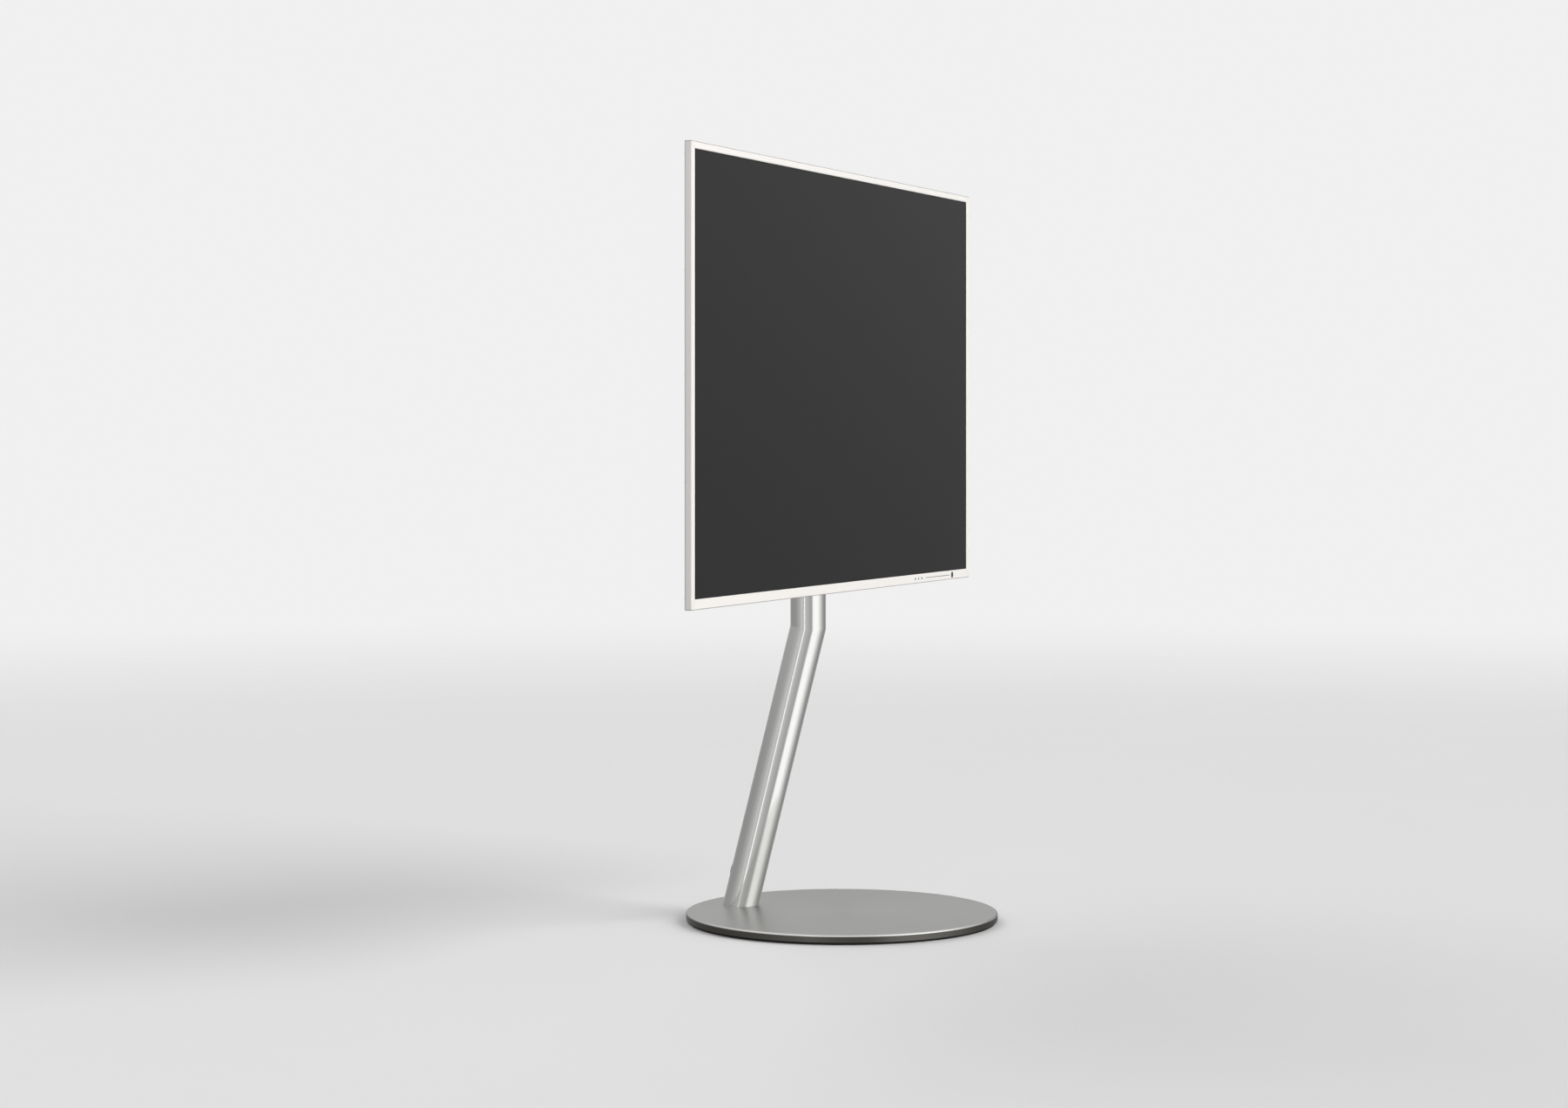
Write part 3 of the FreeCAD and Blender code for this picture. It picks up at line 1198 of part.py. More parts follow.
def column():
    """Vertical tube mitred to the leaning tube, cut level at the base."""
    over = TUBE_R * 2
    upper_start = V(0, AXIS_Y, KINK_Z - over)
    upper = pipe(upper_start, V(0, 0, 1), COLUMN_TOP_Z - KINK_Z + over, TUBE_R, TUBE_BORE_R)
    lower = pipe(FOOT - LEAN_UP * over, LEAN_UP, LEAN_LENGTH + 2 * over, TUBE_R, TUBE_BORE_R)
    floor = box(-BASE_R, BASE_R, 0, BASE_R * 2, -BASE_R, PLATE_TOP_Z)
    tube = joined([upper.common(kink_side(True)), lower.common(kink_side(False)).cut(floor)])
    pin_z = SLEEVE_Z0 + STOP_RISE
    holes = [rod(V(0, AXIS_Y, pin_z), V(0, 1, 0), TUBE_R + 1, STOP_PIN_R)]
    for start, out in grommet_places():
        holes.append(rod(start, out, TUBE_R + 1, GROMMET_HOLE_R))
    return tube.cut(Part.makeCompound(holes))


def grommet_places():
    """Point on the tube's centre line and outward direction of each cable hole."""
    upper = V(0, AXIS_Y, COLLAR_Z0 - UPPER_GROMMET_DROP)
    lower = FOOT + LEAN_UP * LOWER_GROMMET_UP
    return [(upper, V(0, 1, 0)), (lower, V(0, math.cos(LEAN), math.sin(LEAN)))]


def grommet(place, along):
    """Rubber grommet: saddle lips inside and outside the tube wall, open bore."""
    start, out = place
    lip_r = GROMMET_HOLE_R + GROMMET_LIP
    reach = max(TUBE_R, lip_r) + 2 * GROMMET_LIP_T
    base = start - along * reach
    outer_lip = rod(start, out, reach, lip_r).common(
        pipe(base, along, 2 * reach, TUBE_R + GROMMET_LIP_T, TUBE_R))
    neck = rod(start, out, reach, GROMMET_HOLE_R).common(
        pipe(base, along, 2 * reach, TUBE_R + GROMMET_LIP_T, TUBE_BORE_R - GROMMET_LIP_T))
    inner_lip = rod(start, out, reach, lip_r).common(
        pipe(base, along, 2 * reach, TUBE_BORE_R, TUBE_BORE_R - GROMMET_LIP_T))
    whole = joined([neck, outer_lip, inner_lip])
    return whole.cut(rod(start, out, reach, GROMMET_BORE_R))


def column_cap():
    start = V(0, AXIS_Y, COLUMN_TOP_Z)
    disc = rod(start, V(0, 0, 1), CAP_T, TUBE_R)
    top = edges_with_z(disc, COLUMN_TOP_Z + CAP_T)
    disc = disc.makeFillet(CAP_T / 3, top)
    plug = pipe(start, V(0, 0, -1), CAP_PLUG_LENGTH, TUBE_BORE_R - PLUG_CLEARANCE,
                TUBE_BORE_R - PLUG_CLEARANCE - TUBE_T)
    return joined([disc, plug])


def edges_with_z(shape, z):
    return [edge for edge in shape.Edges
            if all(abs(corner.Point.z - z) < 1e-4 for corner in edge.Vertexes)]


# Base

def foot_screw_points():
    step = 2 * math.pi / FOOT_SCREW_COUNT
    return [(FOOT_SCREW_PCD_R * math.sin(step * turn), FOOT_Y - FOOT_SCREW_PCD_R
             * math.cos(step * turn)) for turn in range(FOOT_SCREW_COUNT)]


def foot_screw(x, y):
    head = Part.makeCone(FOOT_HEAD_R, FOOT_SCREW_R, FOOT_HEAD_T, V(x, y, PAD_T), V(0, 0, 1))
    shank = rod(V(x, y, PAD_T), V(0, 0, 1), BASE_T + FOOT_SCREW_BITE, FOOT_SCREW_R)
    return joined([head, shank])


def foot_screws():
    return [foot_screw(x, y) for x, y in foot_screw_points()]


def foot_plug():
    """Block welded inside the leaning tube's lower end, tapped for the foot screws."""
    start = FOOT - LEAN_UP * TUBE_R * 2
    block = rod(start, LEAN_UP, TUBE_R * 2 + FOOT_PLUG_H, TUBE_BORE_R)
    block = block.cut(box(-BASE_R, BASE_R, 0, BASE_R * 2, -BASE_R, PLATE_TOP_Z))
    return block.cut(Part.makeCompound(foot_screws()))


def base_plate():
    disc = rod(V(0, 0, PAD_T), V(0, 0, 1), BASE_T, BASE_R)
    disc = disc.makeFillet(BASE_EDGE_R, edges_with_z(disc, PLATE_TOP_Z))
    return disc.cut(Part.makeCompound(foot_screws()))


def base_pad():
    return rod(V(0, 0, 0), V(0, 0, 1), PAD_T, BASE_R - PAD_INSET)


def main():
    save("base_plate", [base_plate()])
    save("base_pad", [base_pad()])
    save("column", [column()])
    save("foot_plug", [foot_plug()])
    save("foot_screws", foot_screws())
    upper_place, lower_place = grommet_places()
    save("grommet_upper", [grommet(upper_place, V(0, 0, 1))])
    save("grommet_lower", [grommet(lower_place, LEAN_UP)])
    save("column_cap", [column_cap()])
    save("support_collar", [support_collar()])
    save("collar_set_screws", set_screws())
    save("stop_pin", [stop_pin()])

    save("swivel_sleeve", [swivel_sleeve()])
    save("swivel_bushes", bushes())
    save("mount_plate", [mount_plate()])
    save("saddle_screws", saddle_screws())
    save("mounting_bosses", mounting_bosses())
    save("mounting_screws", vesa_screws())

    save("rail_top", [front_rail("top")])
    save("rail_bottom", [bottom_rail()])
    save("rail_left", [front_rail("left")])
    save("rail_right", [front_rail("right")])
    save("frame_blocks", frame_blocks())
    save("corner_keys", corner_keys())
    save("cover_screws", cover_screws())
    save("glass_gasket", [glass_gasket()])
    save("touch_glass", [module_sheet(GLASS_Y, FILM_Y, 0)])
    save("touch_film", [module_sheet(FILM_Y, CELL_Y, FILM_INSET)])
    save("lcd_cell", [module_sheet(CELL_Y, DIFFUSER_Y, CELL_INSET)])
    save("diffuser_sheet", [module_sheet(DIFFUSER_Y, PRISM_Y, SHEET_INSET)])
    save("prism_sheet", [module_sheet(PRISM_Y, GUIDE_Y, SHEET_INSET)])
    save("light_guide", [module_sheet(GUIDE_Y, TRAY_FLOOR_Y, GUIDE_INSET, LED_ROOM)])
    save("led_bar", [led_bar()])
    save("backlight_tray", [backlight_tray()])
    save("rear_cover", [rear_cover()])

    for number, x in enumerate(KEY_X, start=1):
        save("small_key_" + str(number), [round_key(x, KEY_R)])
    save("power_key", [round_key(POWER_KEY_X, POWER_KEY_R)])
    save("light_bar", [light_bar()])
    save("key_board", [key_board()])

    save("rear_housing", [rear_housing()])
    save("housing_screws", housing_screws())
    save("power_board", [power_board()])
    save("main_board", [main_board()])
    save("touch_board", [touch_board()])
    save("timing_board", [timing_board()])
    save("board_standoffs", board_standoffs())
    save("board_screws", board_screws())
    save("speakers", speakers())
    save("mains_inlet", [inlet_socket()])
    save("switch_body", [switch_body()])
    save("rocker", [rocker()])
    save("port_panel", [port_panel()])
    save("panel_screws", panel_screws())

    save("panel_ribbons", panel_ribbons())
    save("key_ribbon", [board_ribbon(KEY_RIBBON_X, CONTROL_Z - 2, KEY_RIBBON_EXIT_Z)])
    save("touch_ribbon", [board_ribbon(TOUCH_RIBBON_X, VIEW_Z0, TOUCH_RIBBON_EXIT_Z)])
    save("mains_harness", [mains_harness()])
    save("dc_harness", [dc_harness()])
    save("signal_cable", [signal_cable()])


main()
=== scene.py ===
"""Finishes, light and camera for a flat display on a leaning steel floor stand.

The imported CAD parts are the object. This file gives every part the finish of its real material, and sets
up a pale studio with soft light and one camera.
"""

import math

import bmesh
import bpy
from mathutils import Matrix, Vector


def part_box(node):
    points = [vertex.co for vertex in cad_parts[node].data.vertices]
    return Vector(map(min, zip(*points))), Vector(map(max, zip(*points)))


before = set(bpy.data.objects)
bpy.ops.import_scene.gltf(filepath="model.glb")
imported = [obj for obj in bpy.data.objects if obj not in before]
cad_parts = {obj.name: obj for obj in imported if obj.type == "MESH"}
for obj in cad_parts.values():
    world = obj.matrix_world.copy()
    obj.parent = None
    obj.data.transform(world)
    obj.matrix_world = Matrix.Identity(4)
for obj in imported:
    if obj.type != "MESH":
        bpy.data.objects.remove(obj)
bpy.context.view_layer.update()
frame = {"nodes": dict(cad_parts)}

bl_info = {
    "name": "Display Stand Finishes",
    "version": (1, 0, 0),
    "blender": (4, 5, 0),
    "location": "View3D > Sidebar > Display Stand",
    "description": "Finishes, studio light and camera for a display on a floor stand",
    "category": "Object",
}

MM = 0.001
# Width of the thin grey painted shade line on the frame's outer edges.
EDGE_SHADE_LINE = 1.0 * MM
# How far under the disc's top the painted shade on its side ends, and its bright rim begins.
DISC_SHADE_END, DISC_RIM_START = 3.1 * MM, 2.2 * MM
# How many times longer than wide a belt mark or a die line is.
TUBE_MARK, DISC_MARK, DIE_LINE = 160, 90, 400
SPANGLE = 8 * MM
TRACK_PITCH = 14 * MM
BOARD_T = 1.6 * MM
WIRE_PITCH = 1.0 * MM


def linear(code):
    """The linear colour, with alpha, of an sRGB hex code such as #3C3C3C."""
    parts = [int(code[i:i + 2], 16) / 255 for i in (1, 3, 5)]
    return tuple(c / 12.92 if c <= 0.04045 else ((c + 0.055) / 1.055) ** 2.4 for c in parts) + (1.0,)


def colour_prop(name, description, code):
    """A colour that a user may change, with its default given as an sRGB hex code."""
    return bpy.props.FloatVectorProperty(
        name=name, description=description, subtype="COLOR", size=4, min=0.0, max=1.0, default=linear(code)
    )


def length_prop(name, description, default):
    """A length in metres that a user may change."""
    return bpy.props.FloatProperty(
        name=name, description=description, subtype="DISTANCE", unit="LENGTH", min=0.0, default=default
    )


# ---------------------------------------------------------------- settings


class StandFinish(bpy.types.PropertyGroup):
    """What a user may change on the column and the base."""

    steel: colour_prop("Stainless steel", "Colour of the brushed stainless steel", "#D2D2D0")
    disc: colour_prop("Disc top", "Colour of the satin top of the base disc", "#C0C0BE")
    # painted shade: dark colour painted on the disc's side, standing in for the shade seen there
    painted_side_shade: colour_prop("Disc edge", "Colour of the dark turned edge of the base disc", "#55534F")
    brush_pitch: length_prop("Brush pitch", "Distance between the brush marks that show", 1.6 * MM)
    bend_height: length_prop("Bend height", "Height of the column's bend above the floor", 0.493)
    lean: bpy.props.FloatProperty(
        name="Lean", description="Lean of the lower column", subtype="ANGLE", unit="ROTATION",
        default=math.radians(14.7),
    )


class DisplayFinish(bpy.types.PropertyGroup):
    """What a user may change on the display."""

    frame: colour_prop("Frame", "Colour of the anodised aluminium frame", "#E6E3DF")
    # painted shade: the grey outline painted on the frame's outer edges
    edge: colour_prop("Frame edge", "Colour of the thin anodic film on the frame's outer edges", "#8F8E8C")
    glass: colour_prop("Glass", "Colour of the dark screen under its etched glass", "#202021")
    cover: colour_prop("Rear cover", "Colour of the powder coat on the rear cover", "#4A4B4D")
    housing: colour_prop("Housing", "Colour of the moulded rear housing", "#38393B")
    keys: colour_prop("Keys", "Colour of the keys and the light bar's lens", "#2B2B2C")
    etch_grain: length_prop("Etch grain", "Width of the glass's etched grains that show", 0.9 * MM)
    die_pitch: length_prop("Die line pitch", "Distance between the die lines of the frame rails", 1.3 * MM)


class StudioSettings(bpy.types.PropertyGroup):
    """What a user may change in the studio."""

    floor: colour_prop("Floor", "Colour of the painted floor", "#D5D5D5")
    backdrop: colour_prop("Backdrop", "Colour seen behind the object", "#F0F0F0")
    ambient: bpy.props.FloatProperty(
        name="Ambient", description="Strength of the light from all round", min=0.0, default=0.42
    )
    front_strength: bpy.props.FloatProperty(
        name="Front light", description="Strength of the soft light from the front", min=0.0, default=2.9
    )
    back_strength: bpy.props.FloatProperty(
        name="Back light", description="Strength of the soft light from behind", min=0.0, default=1.3
    )
    camera_place: bpy.props.FloatVectorProperty(
        name="Camera", description="Where the camera stands", subtype="XYZ", unit="LENGTH", size=3,
        default=(-4.953, -2.006, 0.818),
    )
    heading: bpy.props.FloatProperty(
        name="Heading", description="Bearing of the camera, clockwise from the display's back",
        subtype="ANGLE", unit="ROTATION", default=math.radians(66.906),
    )
    lens: bpy.props.FloatProperty(
        name="Lens", description="Focal length in millimetres on a 36 mm sensor", min=10.0, default=72.72
    )
    fall: bpy.props.FloatProperty(
        name="Fall", description="Vertical shift of the lens, as a share of the frame's width",
        default=-0.0756,
    )


# ---------------------------------------------------------------- making finishes


def add(tree, kind, sockets=None, links=None, **settings):
    """Adds a node with its settings, its socket values and the outputs that feed it."""
    made = tree.nodes.new(kind)
    for name, value in settings.items():
        setattr(made, name, value)
    for name, value in (sockets or {}).items():
        made.inputs[name].default_value = value
    for name, source in (links or {}).items():
        tree.links.new(source, made.inputs[name])
    return made


def new_finish(name, **sockets):
    """A material with one main shader: gives it, its tree, the shader and the places in the object."""
    made = bpy.data.materials.new(name)
    made.use_nodes = True
    tree = made.node_tree
    tree.nodes.clear()
    named = {k.replace("_", " "): v for k, v in sockets.items()}
    shader = add(tree, "ShaderNodeBsdfPrincipled", named)
    add(tree, "ShaderNodeOutputMaterial", links={"Surface": shader.outputs[0]})
    where = add(tree, "ShaderNodeTexCoord").outputs["Object"]
    return made, tree, shader, where


def grain(tree, where, pitch, detail=3.0, rough=0.55):
    """A soft random pattern from 0 to 1 whose marks are pitch = (x, y, z) metres long."""
    scaled = add(tree, "ShaderNodeMapping", {"Scale": [1.0 / p for p in pitch]}, {"Vector": where})
    made = add(
        tree, "ShaderNodeTexNoise", {"Scale": 1.0, "Detail": detail, "Roughness": rough},
        {"Vector": scaled.outputs[0]},
    )
    return made.outputs[0]


def between(tree, pattern, low, high):
    """A colour that a pattern moves between two others, each a plain colour or a node's output."""
    ends = {6: low, 7: high}
    plain = {place: end for place, end in ends.items() if isinstance(end, tuple)}
    fed = {place: end for place, end in ends.items() if place not in plain}
    return add(tree, "ShaderNodeMix", plain, {0: pattern, **fed}, data_type="RGBA").outputs[2]


def tint(tree, shader, pattern, low, high):
    """Lets a pattern move the base colour between two colours."""
    tree.links.new(between(tree, pattern, low, high), shader.inputs["Base Color"])


def polish(tree, shader, pattern, low, high):
    """Lets a pattern move the roughness between two values."""
    ranged = add(tree, "ShaderNodeMapRange", {"To Min": low, "To Max": high}, {"Value": pattern})
    tree.links.new(ranged.outputs[0], shader.inputs["Roughness"])


def relief(tree, shader, pattern, depth):
    """Lets a pattern stand proud of the surface by a depth in metres."""
    made = add(tree, "ShaderNodeBump", {"Strength": 1.0, "Distance": depth}, {"Height": pattern})
    tree.links.new(made.outputs[0], shader.inputs["Normal"])


def shade(colour, share):
    """A colour made darker or lighter by a share."""
    return tuple(min(1.0, c * share) for c in colour[:3]) + (1.0,)


def mask_above(tree, where, axis, start, end):
    """0 before start and 1 past end along one axis of the object, in metres."""
    parts = add(tree, "ShaderNodeSeparateXYZ", links={0: where})
    ranged = add(
        tree, "ShaderNodeMapRange", {"From Min": start, "From Max": end}, {"Value": parts.outputs[axis]}
    )
    return ranged.outputs[0]


def dress(finish, *names):
    """Gives CAD parts their finish through their own material slots."""
    for name in names:
        for place in frame["nodes"][name].material_slots:
            place.material = finish
        frame["nodes"][name]["dressed"] = True


# ---------------------------------------------------------------- steel and aluminium


def column_grain(tree, where, stand):
    """Places measured across the column, so that brush marks follow its upright and its leaning part."""
    parts = add(tree, "ShaderNodeSeparateXYZ", links={0: where})
    below = add(
        tree, "ShaderNodeMath", {0: stand.bend_height}, {1: parts.outputs["Z"]}, operation="SUBTRACT",
        use_clamp=True,
    )
    back = add(
        tree, "ShaderNodeMath", {1: -math.tan(stand.lean)}, {0: below.outputs[0], 2: parts.outputs["Y"]},
        operation="MULTIPLY_ADD",
    )
    made = add(
        tree, "ShaderNodeCombineXYZ",
        links={"X": parts.outputs["X"], "Y": back.outputs[0], "Z": parts.outputs["Z"]},
    )
    return made.outputs[0]


def brushed_stainless_tube(stand):
    """Stainless tube brushed lengthwise: near mirror across the marks, with long faint streaks.

    Belt marks are some 0.1 mm apart, and are drawn coarser so that they show.
    """
    made, tree, shader, where = new_finish("brushed_stainless_tube", Metallic=1.0, Anisotropic=0.35)
    along = column_grain(tree, where, stand)
    pitch = stand.brush_pitch
    streaks = grain(tree, along, (pitch, pitch, TUBE_MARK * pitch))
    tint(tree, shader, streaks, shade(stand.steel, 0.93), shade(stand.steel, 1.05))
    polish(tree, shader, streaks, low=0.09, high=0.16)
    relief(tree, shader, streaks, depth=0.01 * MM)
    return made


def satin_stainless_disc(stand):
    """Stainless plate with a satin brushed top and a bright rolled rim; its turned side is painted dark as
    painted shade.

    The grain runs across the plate; real marks are 0.15 mm apart, and are drawn coarser so that they show.
    """
    made, tree, shader, where = new_finish(
        "satin_stainless_disc", Metallic=1.0, Anisotropic=0.2, Specular_Tint=linear("#E6E6E6")
    )
    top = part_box("base_plate")[1].z
    pitch = stand.brush_pitch
    marks = grain(tree, where, (DISC_MARK * pitch, pitch, pitch))
    cloud = grain(tree, where, (70 * MM,) * 3, detail=2.0)
    both = add(tree, "ShaderNodeMix", {0: 0.35}, {2: marks, 3: cloud}, data_type="FLOAT").outputs[0]
    face = between(tree, both, shade(stand.disc, 0.94), shade(stand.disc, 1.05))
    # painted shade: the disc's vertical side below the rim is painted dark, standing in for the shade on
    # it
    edge = between(tree, both, shade(stand.painted_side_shade, 0.8), shade(stand.painted_side_shade, 1.25))
    rim = mask_above(tree, where, "Z", top - DISC_SHADE_END, top - DISC_RIM_START)
    tint(tree, shader, rim, edge, face)
    polish(tree, shader, both, low=0.26, high=0.34)
    relief(tree, shader, marks, depth=0.012 * MM)
    return made


def painted_edge_shade_mask(tree, where):
    """1 on the sawn and chamfered outer edge of the frame, above, below and behind, and 0 elsewhere: where
    the painted shade outline goes.
    """
    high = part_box("rail_top")[1]
    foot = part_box("rail_bottom")[0].z
    parts = add(tree, "ShaderNodeSeparateXYZ", links={0: where})
    top, bottom, back = (
        add(tree, "ShaderNodeMath", {1: limit}, {0: parts.outputs[axis]}, operation=test).outputs[0]
        for axis, test, limit in (
            ("Z", "GREATER_THAN", high.z - EDGE_SHADE_LINE),
            ("Z", "LESS_THAN", foot + EDGE_SHADE_LINE),
            ("Y", "GREATER_THAN", high.y - EDGE_SHADE_LINE),
        )
    )
    ends = add(tree, "ShaderNodeMath", links={0: top, 1: bottom}, operation="MAXIMUM").outputs[0]
    return add(tree, "ShaderNodeMath", links={0: ends, 1: back}, operation="MAXIMUM").outputs[0]


def anodised_aluminium(name, display, pitches):
    """Extruded aluminium, bead blasted and clear anodised: pale satin with faint die lines along the bar.

    The sharp outer edges are painted grey as painted shade, which gives the frame a fine darker outline.
    """
    made, tree, shader, where = new_finish(name, Metallic=0.22)
    lines = grain(tree, where, pitches, detail=2.0)
    blast = grain(tree, where, (0.8 * MM,) * 3, detail=2.0)
    face = between(tree, lines, shade(display.frame, 0.93), shade(display.frame, 1.06))
    # painted shade: a grey outline on the frame's outer edges, above, below and behind
    tint(tree, shader, painted_edge_shade_mask(tree, where), face, tuple(display.edge))
    polish(tree, shader, blast, low=0.36, high=0.46)
    relief(tree, shader, blast, depth=0.008 * MM)
    return made


def galvanised_sheet():
    """Hot dip galvanised sheet: grey zinc in soft feathered spangles some 8 mm across."""
    made, tree, shader, where = new_finish("galvanised_sheet", Metallic=1.0)
    spangle = add(
        tree, "ShaderNodeTexVoronoi", {"Scale": 1 / SPANGLE, "Randomness": 1.0}, {"Vector": where}
    )
    tone = add(tree, "ShaderNodeSeparateColor", links={0: spangle.outputs["Color"]}).outputs[0]
    tint(tree, shader, tone, linear("#9DA0A2"), linear("#C3C6C8"))
    polish(tree, shader, tone, low=0.34, high=0.52)
    return made


def zinc_plated_steel():
    """Bright zinc plate on pressed screws: cool silver with turning marks half a millimetre apart."""
    made, tree, shader, where = new_finish("zinc_plated_steel", Metallic=1.0)
    marks = grain(tree, where, (0.5 * MM,) * 3)
    tint(tree, shader, marks, linear("#A9ADB2"), linear("#CDD0D4"))
    polish(tree, shader, marks, low=0.22, high=0.36)
    relief(tree, shader, marks, depth=0.01 * MM)
    return made


def turned_steel():
    """Plain turned steel: mid grey with fine rings from the tool."""
    made, tree, shader, where = new_finish("turned_steel", Metallic=1.0)
    rings = grain(tree, where, (4 * MM, 0.4 * MM, 4 * MM))
    tint(tree, shader, rings, linear("#8E8F90"), linear("#B4B5B6"))
    polish(tree, shader, rings, low=0.28, high=0.42)
    relief(tree, shader, rings, depth=0.01 * MM)
    return made


def turned_brass():
    """Turned brass: warm yellow, a little duller where it has been handled."""
    made, tree, shader, where = new_finish("turned_brass", Metallic=1.0)
    tarnish = grain(tree, where, (3 * MM,) * 3)
    tint(tree, shader, tarnish, linear("#A98746"), linear("#D8BC78"))
    polish(tree, shader, tarnish, low=0.24, high=0.42)
    return made


def plain_steel_plate():
    """Cold rolled steel plate for sockets: even grey with rolling marks along it."""
    made, tree, shader, where = new_finish("plain_steel_plate", Metallic=1.0)
    marks = grain(tree, where, (30 * MM, 0.7 * MM, 0.7 * MM))
    tint(tree, shader, marks, linear("#A2A4A6"), linear("#BEC0C2"))
    polish(tree, shader, marks, low=0.3, high=0.4)
    relief(tree, shader, marks, depth=0.008 * MM)
    return made


# ---------------------------------------------------------------- glass, films and light guide


def etched_screen_glass(display):
    """Chemically etched, coated cover glass over a dark screen: deep grey with a soft, weak sheen.

    Etched grains are some 0.05 mm wide, and are drawn coarser so that the sheen breaks up.
    """
    made, tree, shader, where = new_finish(
        "etched_screen_glass", IOR=1.52, Specular_IOR_Level=0.07
    )
    etch = grain(tree, where, (display.etch_grain,) * 3)
    wiped = grain(tree, where, (180 * MM, 180 * MM, 60 * MM), detail=4.0)
    tint(tree, shader, wiped, shade(display.glass, 0.97), shade(display.glass, 1.03))
    polish(tree, shader, wiped, low=0.3, high=0.36)
    relief(tree, shader, etch, depth=0.004 * MM)
    return made


def optical_film(name, code, ridge, clear):
    """Optical film or sheet: milky or clear plastic with fine moulded ridges along it."""
    made, tree, shader, where = new_finish(name, IOR=1.49, Transmission_Weight=clear)
    ridges = grain(tree, where, (60 * MM, 60 * MM, ridge))
    tint(tree, shader, ridges, shade(linear(code), 0.94), linear(code))
    polish(tree, shader, ridges, low=0.18, high=0.32)
    relief(tree, shader, ridges, depth=0.02 * MM)
    return made


def screen_cell_glass():
    """Thin glass of the switched-off screen: near black with a faint blue cast."""
    made, tree, shader, where = new_finish("screen_cell_glass", IOR=1.52)
    cast = grain(tree, where, (120 * MM,) * 3)
    tint(tree, shader, cast, linear("#1E1F23"), linear("#26272C"))
    polish(tree, shader, cast, low=0.06, high=0.12)
    return made


# ---------------------------------------------------------------- plastics, paint and rubber


def powder_coat(name, colour, peel):
    """Powder coat on steel: even satin colour with the soft orange peel of a baked powder."""
    made, tree, shader, where = new_finish(name, IOR=1.5)
    skin = grain(tree, where, (peel,) * 3, detail=2.0)
    cloud = grain(tree, where, (90 * MM,) * 3, detail=2.0)
    tint(tree, shader, cloud, shade(colour, 0.9), shade(colour, 1.1))
    polish(tree, shader, skin, low=0.42, high=0.56)
    relief(tree, shader, skin, depth=0.06 * MM)
    return made


def moulded_plastic(name, colour, texture, low, high, depth):
    """Injection moulded plastic with a spark textured skin, a little glossier where it is handled."""
    made, tree, shader, where = new_finish(name, IOR=1.49)
    skin = grain(tree, where, (texture,) * 3, detail=4.0)
    flow = grain(tree, where, (60 * MM, 60 * MM, 25 * MM), detail=2.0)
    tint(tree, shader, flow, shade(colour, 0.9), shade(colour, 1.12))
    polish(tree, shader, skin, low, high)
    relief(tree, shader, skin, depth)
    return made


def rubber(name, code, texture, low):
    """Moulded rubber: near black and matt, with a dusty bloom in its pores."""
    made, tree, shader, where = new_finish(name, IOR=1.52, Specular_IOR_Level=0.35)
    pores = grain(tree, where, (texture,) * 3, detail=5.0)
    tint(tree, shader, pores, linear(code), shade(linear(code), 1.9))
    polish(tree, shader, pores, low, min(1.0, low + 0.2))
    relief(tree, shader, pores, depth=0.05 * MM)
    return made


def circuit_board(name, node):
    """Green solder mask over copper tracks, with dark moulded parts standing on the board."""
    made, tree, shader, where = new_finish(name, IOR=1.5)
    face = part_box(node)[0].y + BOARD_T
    turned = add(tree, "ShaderNodeMapping", {"Rotation": (math.pi / 2, 0, 0)}, {"Vector": where})
    tracks = add(
        tree, "ShaderNodeTexBrick",
        {
            "Color1": linear("#1C5A33"), "Color2": linear("#23683C"), "Mortar": linear("#3F8A55"),
            "Scale": 1 / TRACK_PITCH, "Mortar Size": 0.03, "Bias": 0.1,
        },
        {"Vector": turned.outputs[0]},
    )
    speck = grain(tree, where, (5 * MM,) * 3)
    parts = between(tree, speck, linear("#1B1C1D"), linear("#46484A"))
    front = mask_above(tree, where, "Y", face, face + 0.1 * BOARD_T)
    tint(tree, shader, front, tracks.outputs["Color"], parts)
    polish(tree, shader, speck, low=0.3, high=0.5)
    return made


def ribbon_sheath():
    """Flat ribbon lead: white sleeve over a row of flat wires one millimetre apart."""
    made, tree, shader, where = new_finish("ribbon_sheath", IOR=1.5)
    wires = add(
        tree, "ShaderNodeTexWave", {"Scale": 1 / (2 * math.pi * WIRE_PITCH), "Distortion": 0.0},
        {"Vector": where}, bands_direction="X",
    ).outputs[1]
    tint(tree, shader, wires, linear("#CFCFC8"), linear("#ECECE6"))
    polish(tree, shader, wires, low=0.3, high=0.42)
    relief(tree, shader, wires, depth=0.05 * MM)
    return made


def led_strip_board():
    """White strip board with warm phosphor faces on its lamps."""
    made, tree, shader, where = new_finish("led_strip_board", IOR=1.5)
    lamps = grain(tree, where, (9 * MM, 3 * MM, 9 * MM))
    tint(tree, shader, lamps, linear("#F0EFE8"), linear("#E8D98F"))
    polish(tree, shader, lamps, low=0.35, high=0.5)
    return made


# ---------------------------------------------------------------- operators for the object


class STANDKIT_OT_base(bpy.types.Operator):
    """Finish the base disc, its rubber pad and what holds the column to it"""

    bl_idname = "standkit.base"
    bl_label = "Base"

    def execute(self, context):
        stand = context.scene.stand_finish
        dress(satin_stainless_disc(stand), "base_plate")
        dress(rubber("floor_pad_rubber", "#141414", texture=1.2 * MM, low=0.75), "base_pad")
        dress(turned_steel(), "foot_plug")
        return {"FINISHED"}


class STANDKIT_OT_column(bpy.types.Operator):
    """Finish the bent column, its cap and the grommets of its two cable holes"""

    bl_idname = "standkit.column"
    bl_label = "Column"

    def execute(self, context):
        stand = context.scene.stand_finish
        dress(brushed_stainless_tube(stand), "column")
        cap = moulded_plastic(
            "column_cap_plastic", linear("#232324"), texture=0.6 * MM, low=0.45, high=0.6, depth=0.03 * MM
        )
        dress(cap, "column_cap")
        grommet = rubber("grommet_rubber", "#161616", texture=0.8 * MM, low=0.6)
        dress(grommet, "grommet_upper", "grommet_lower")
        return {"FINISHED"}


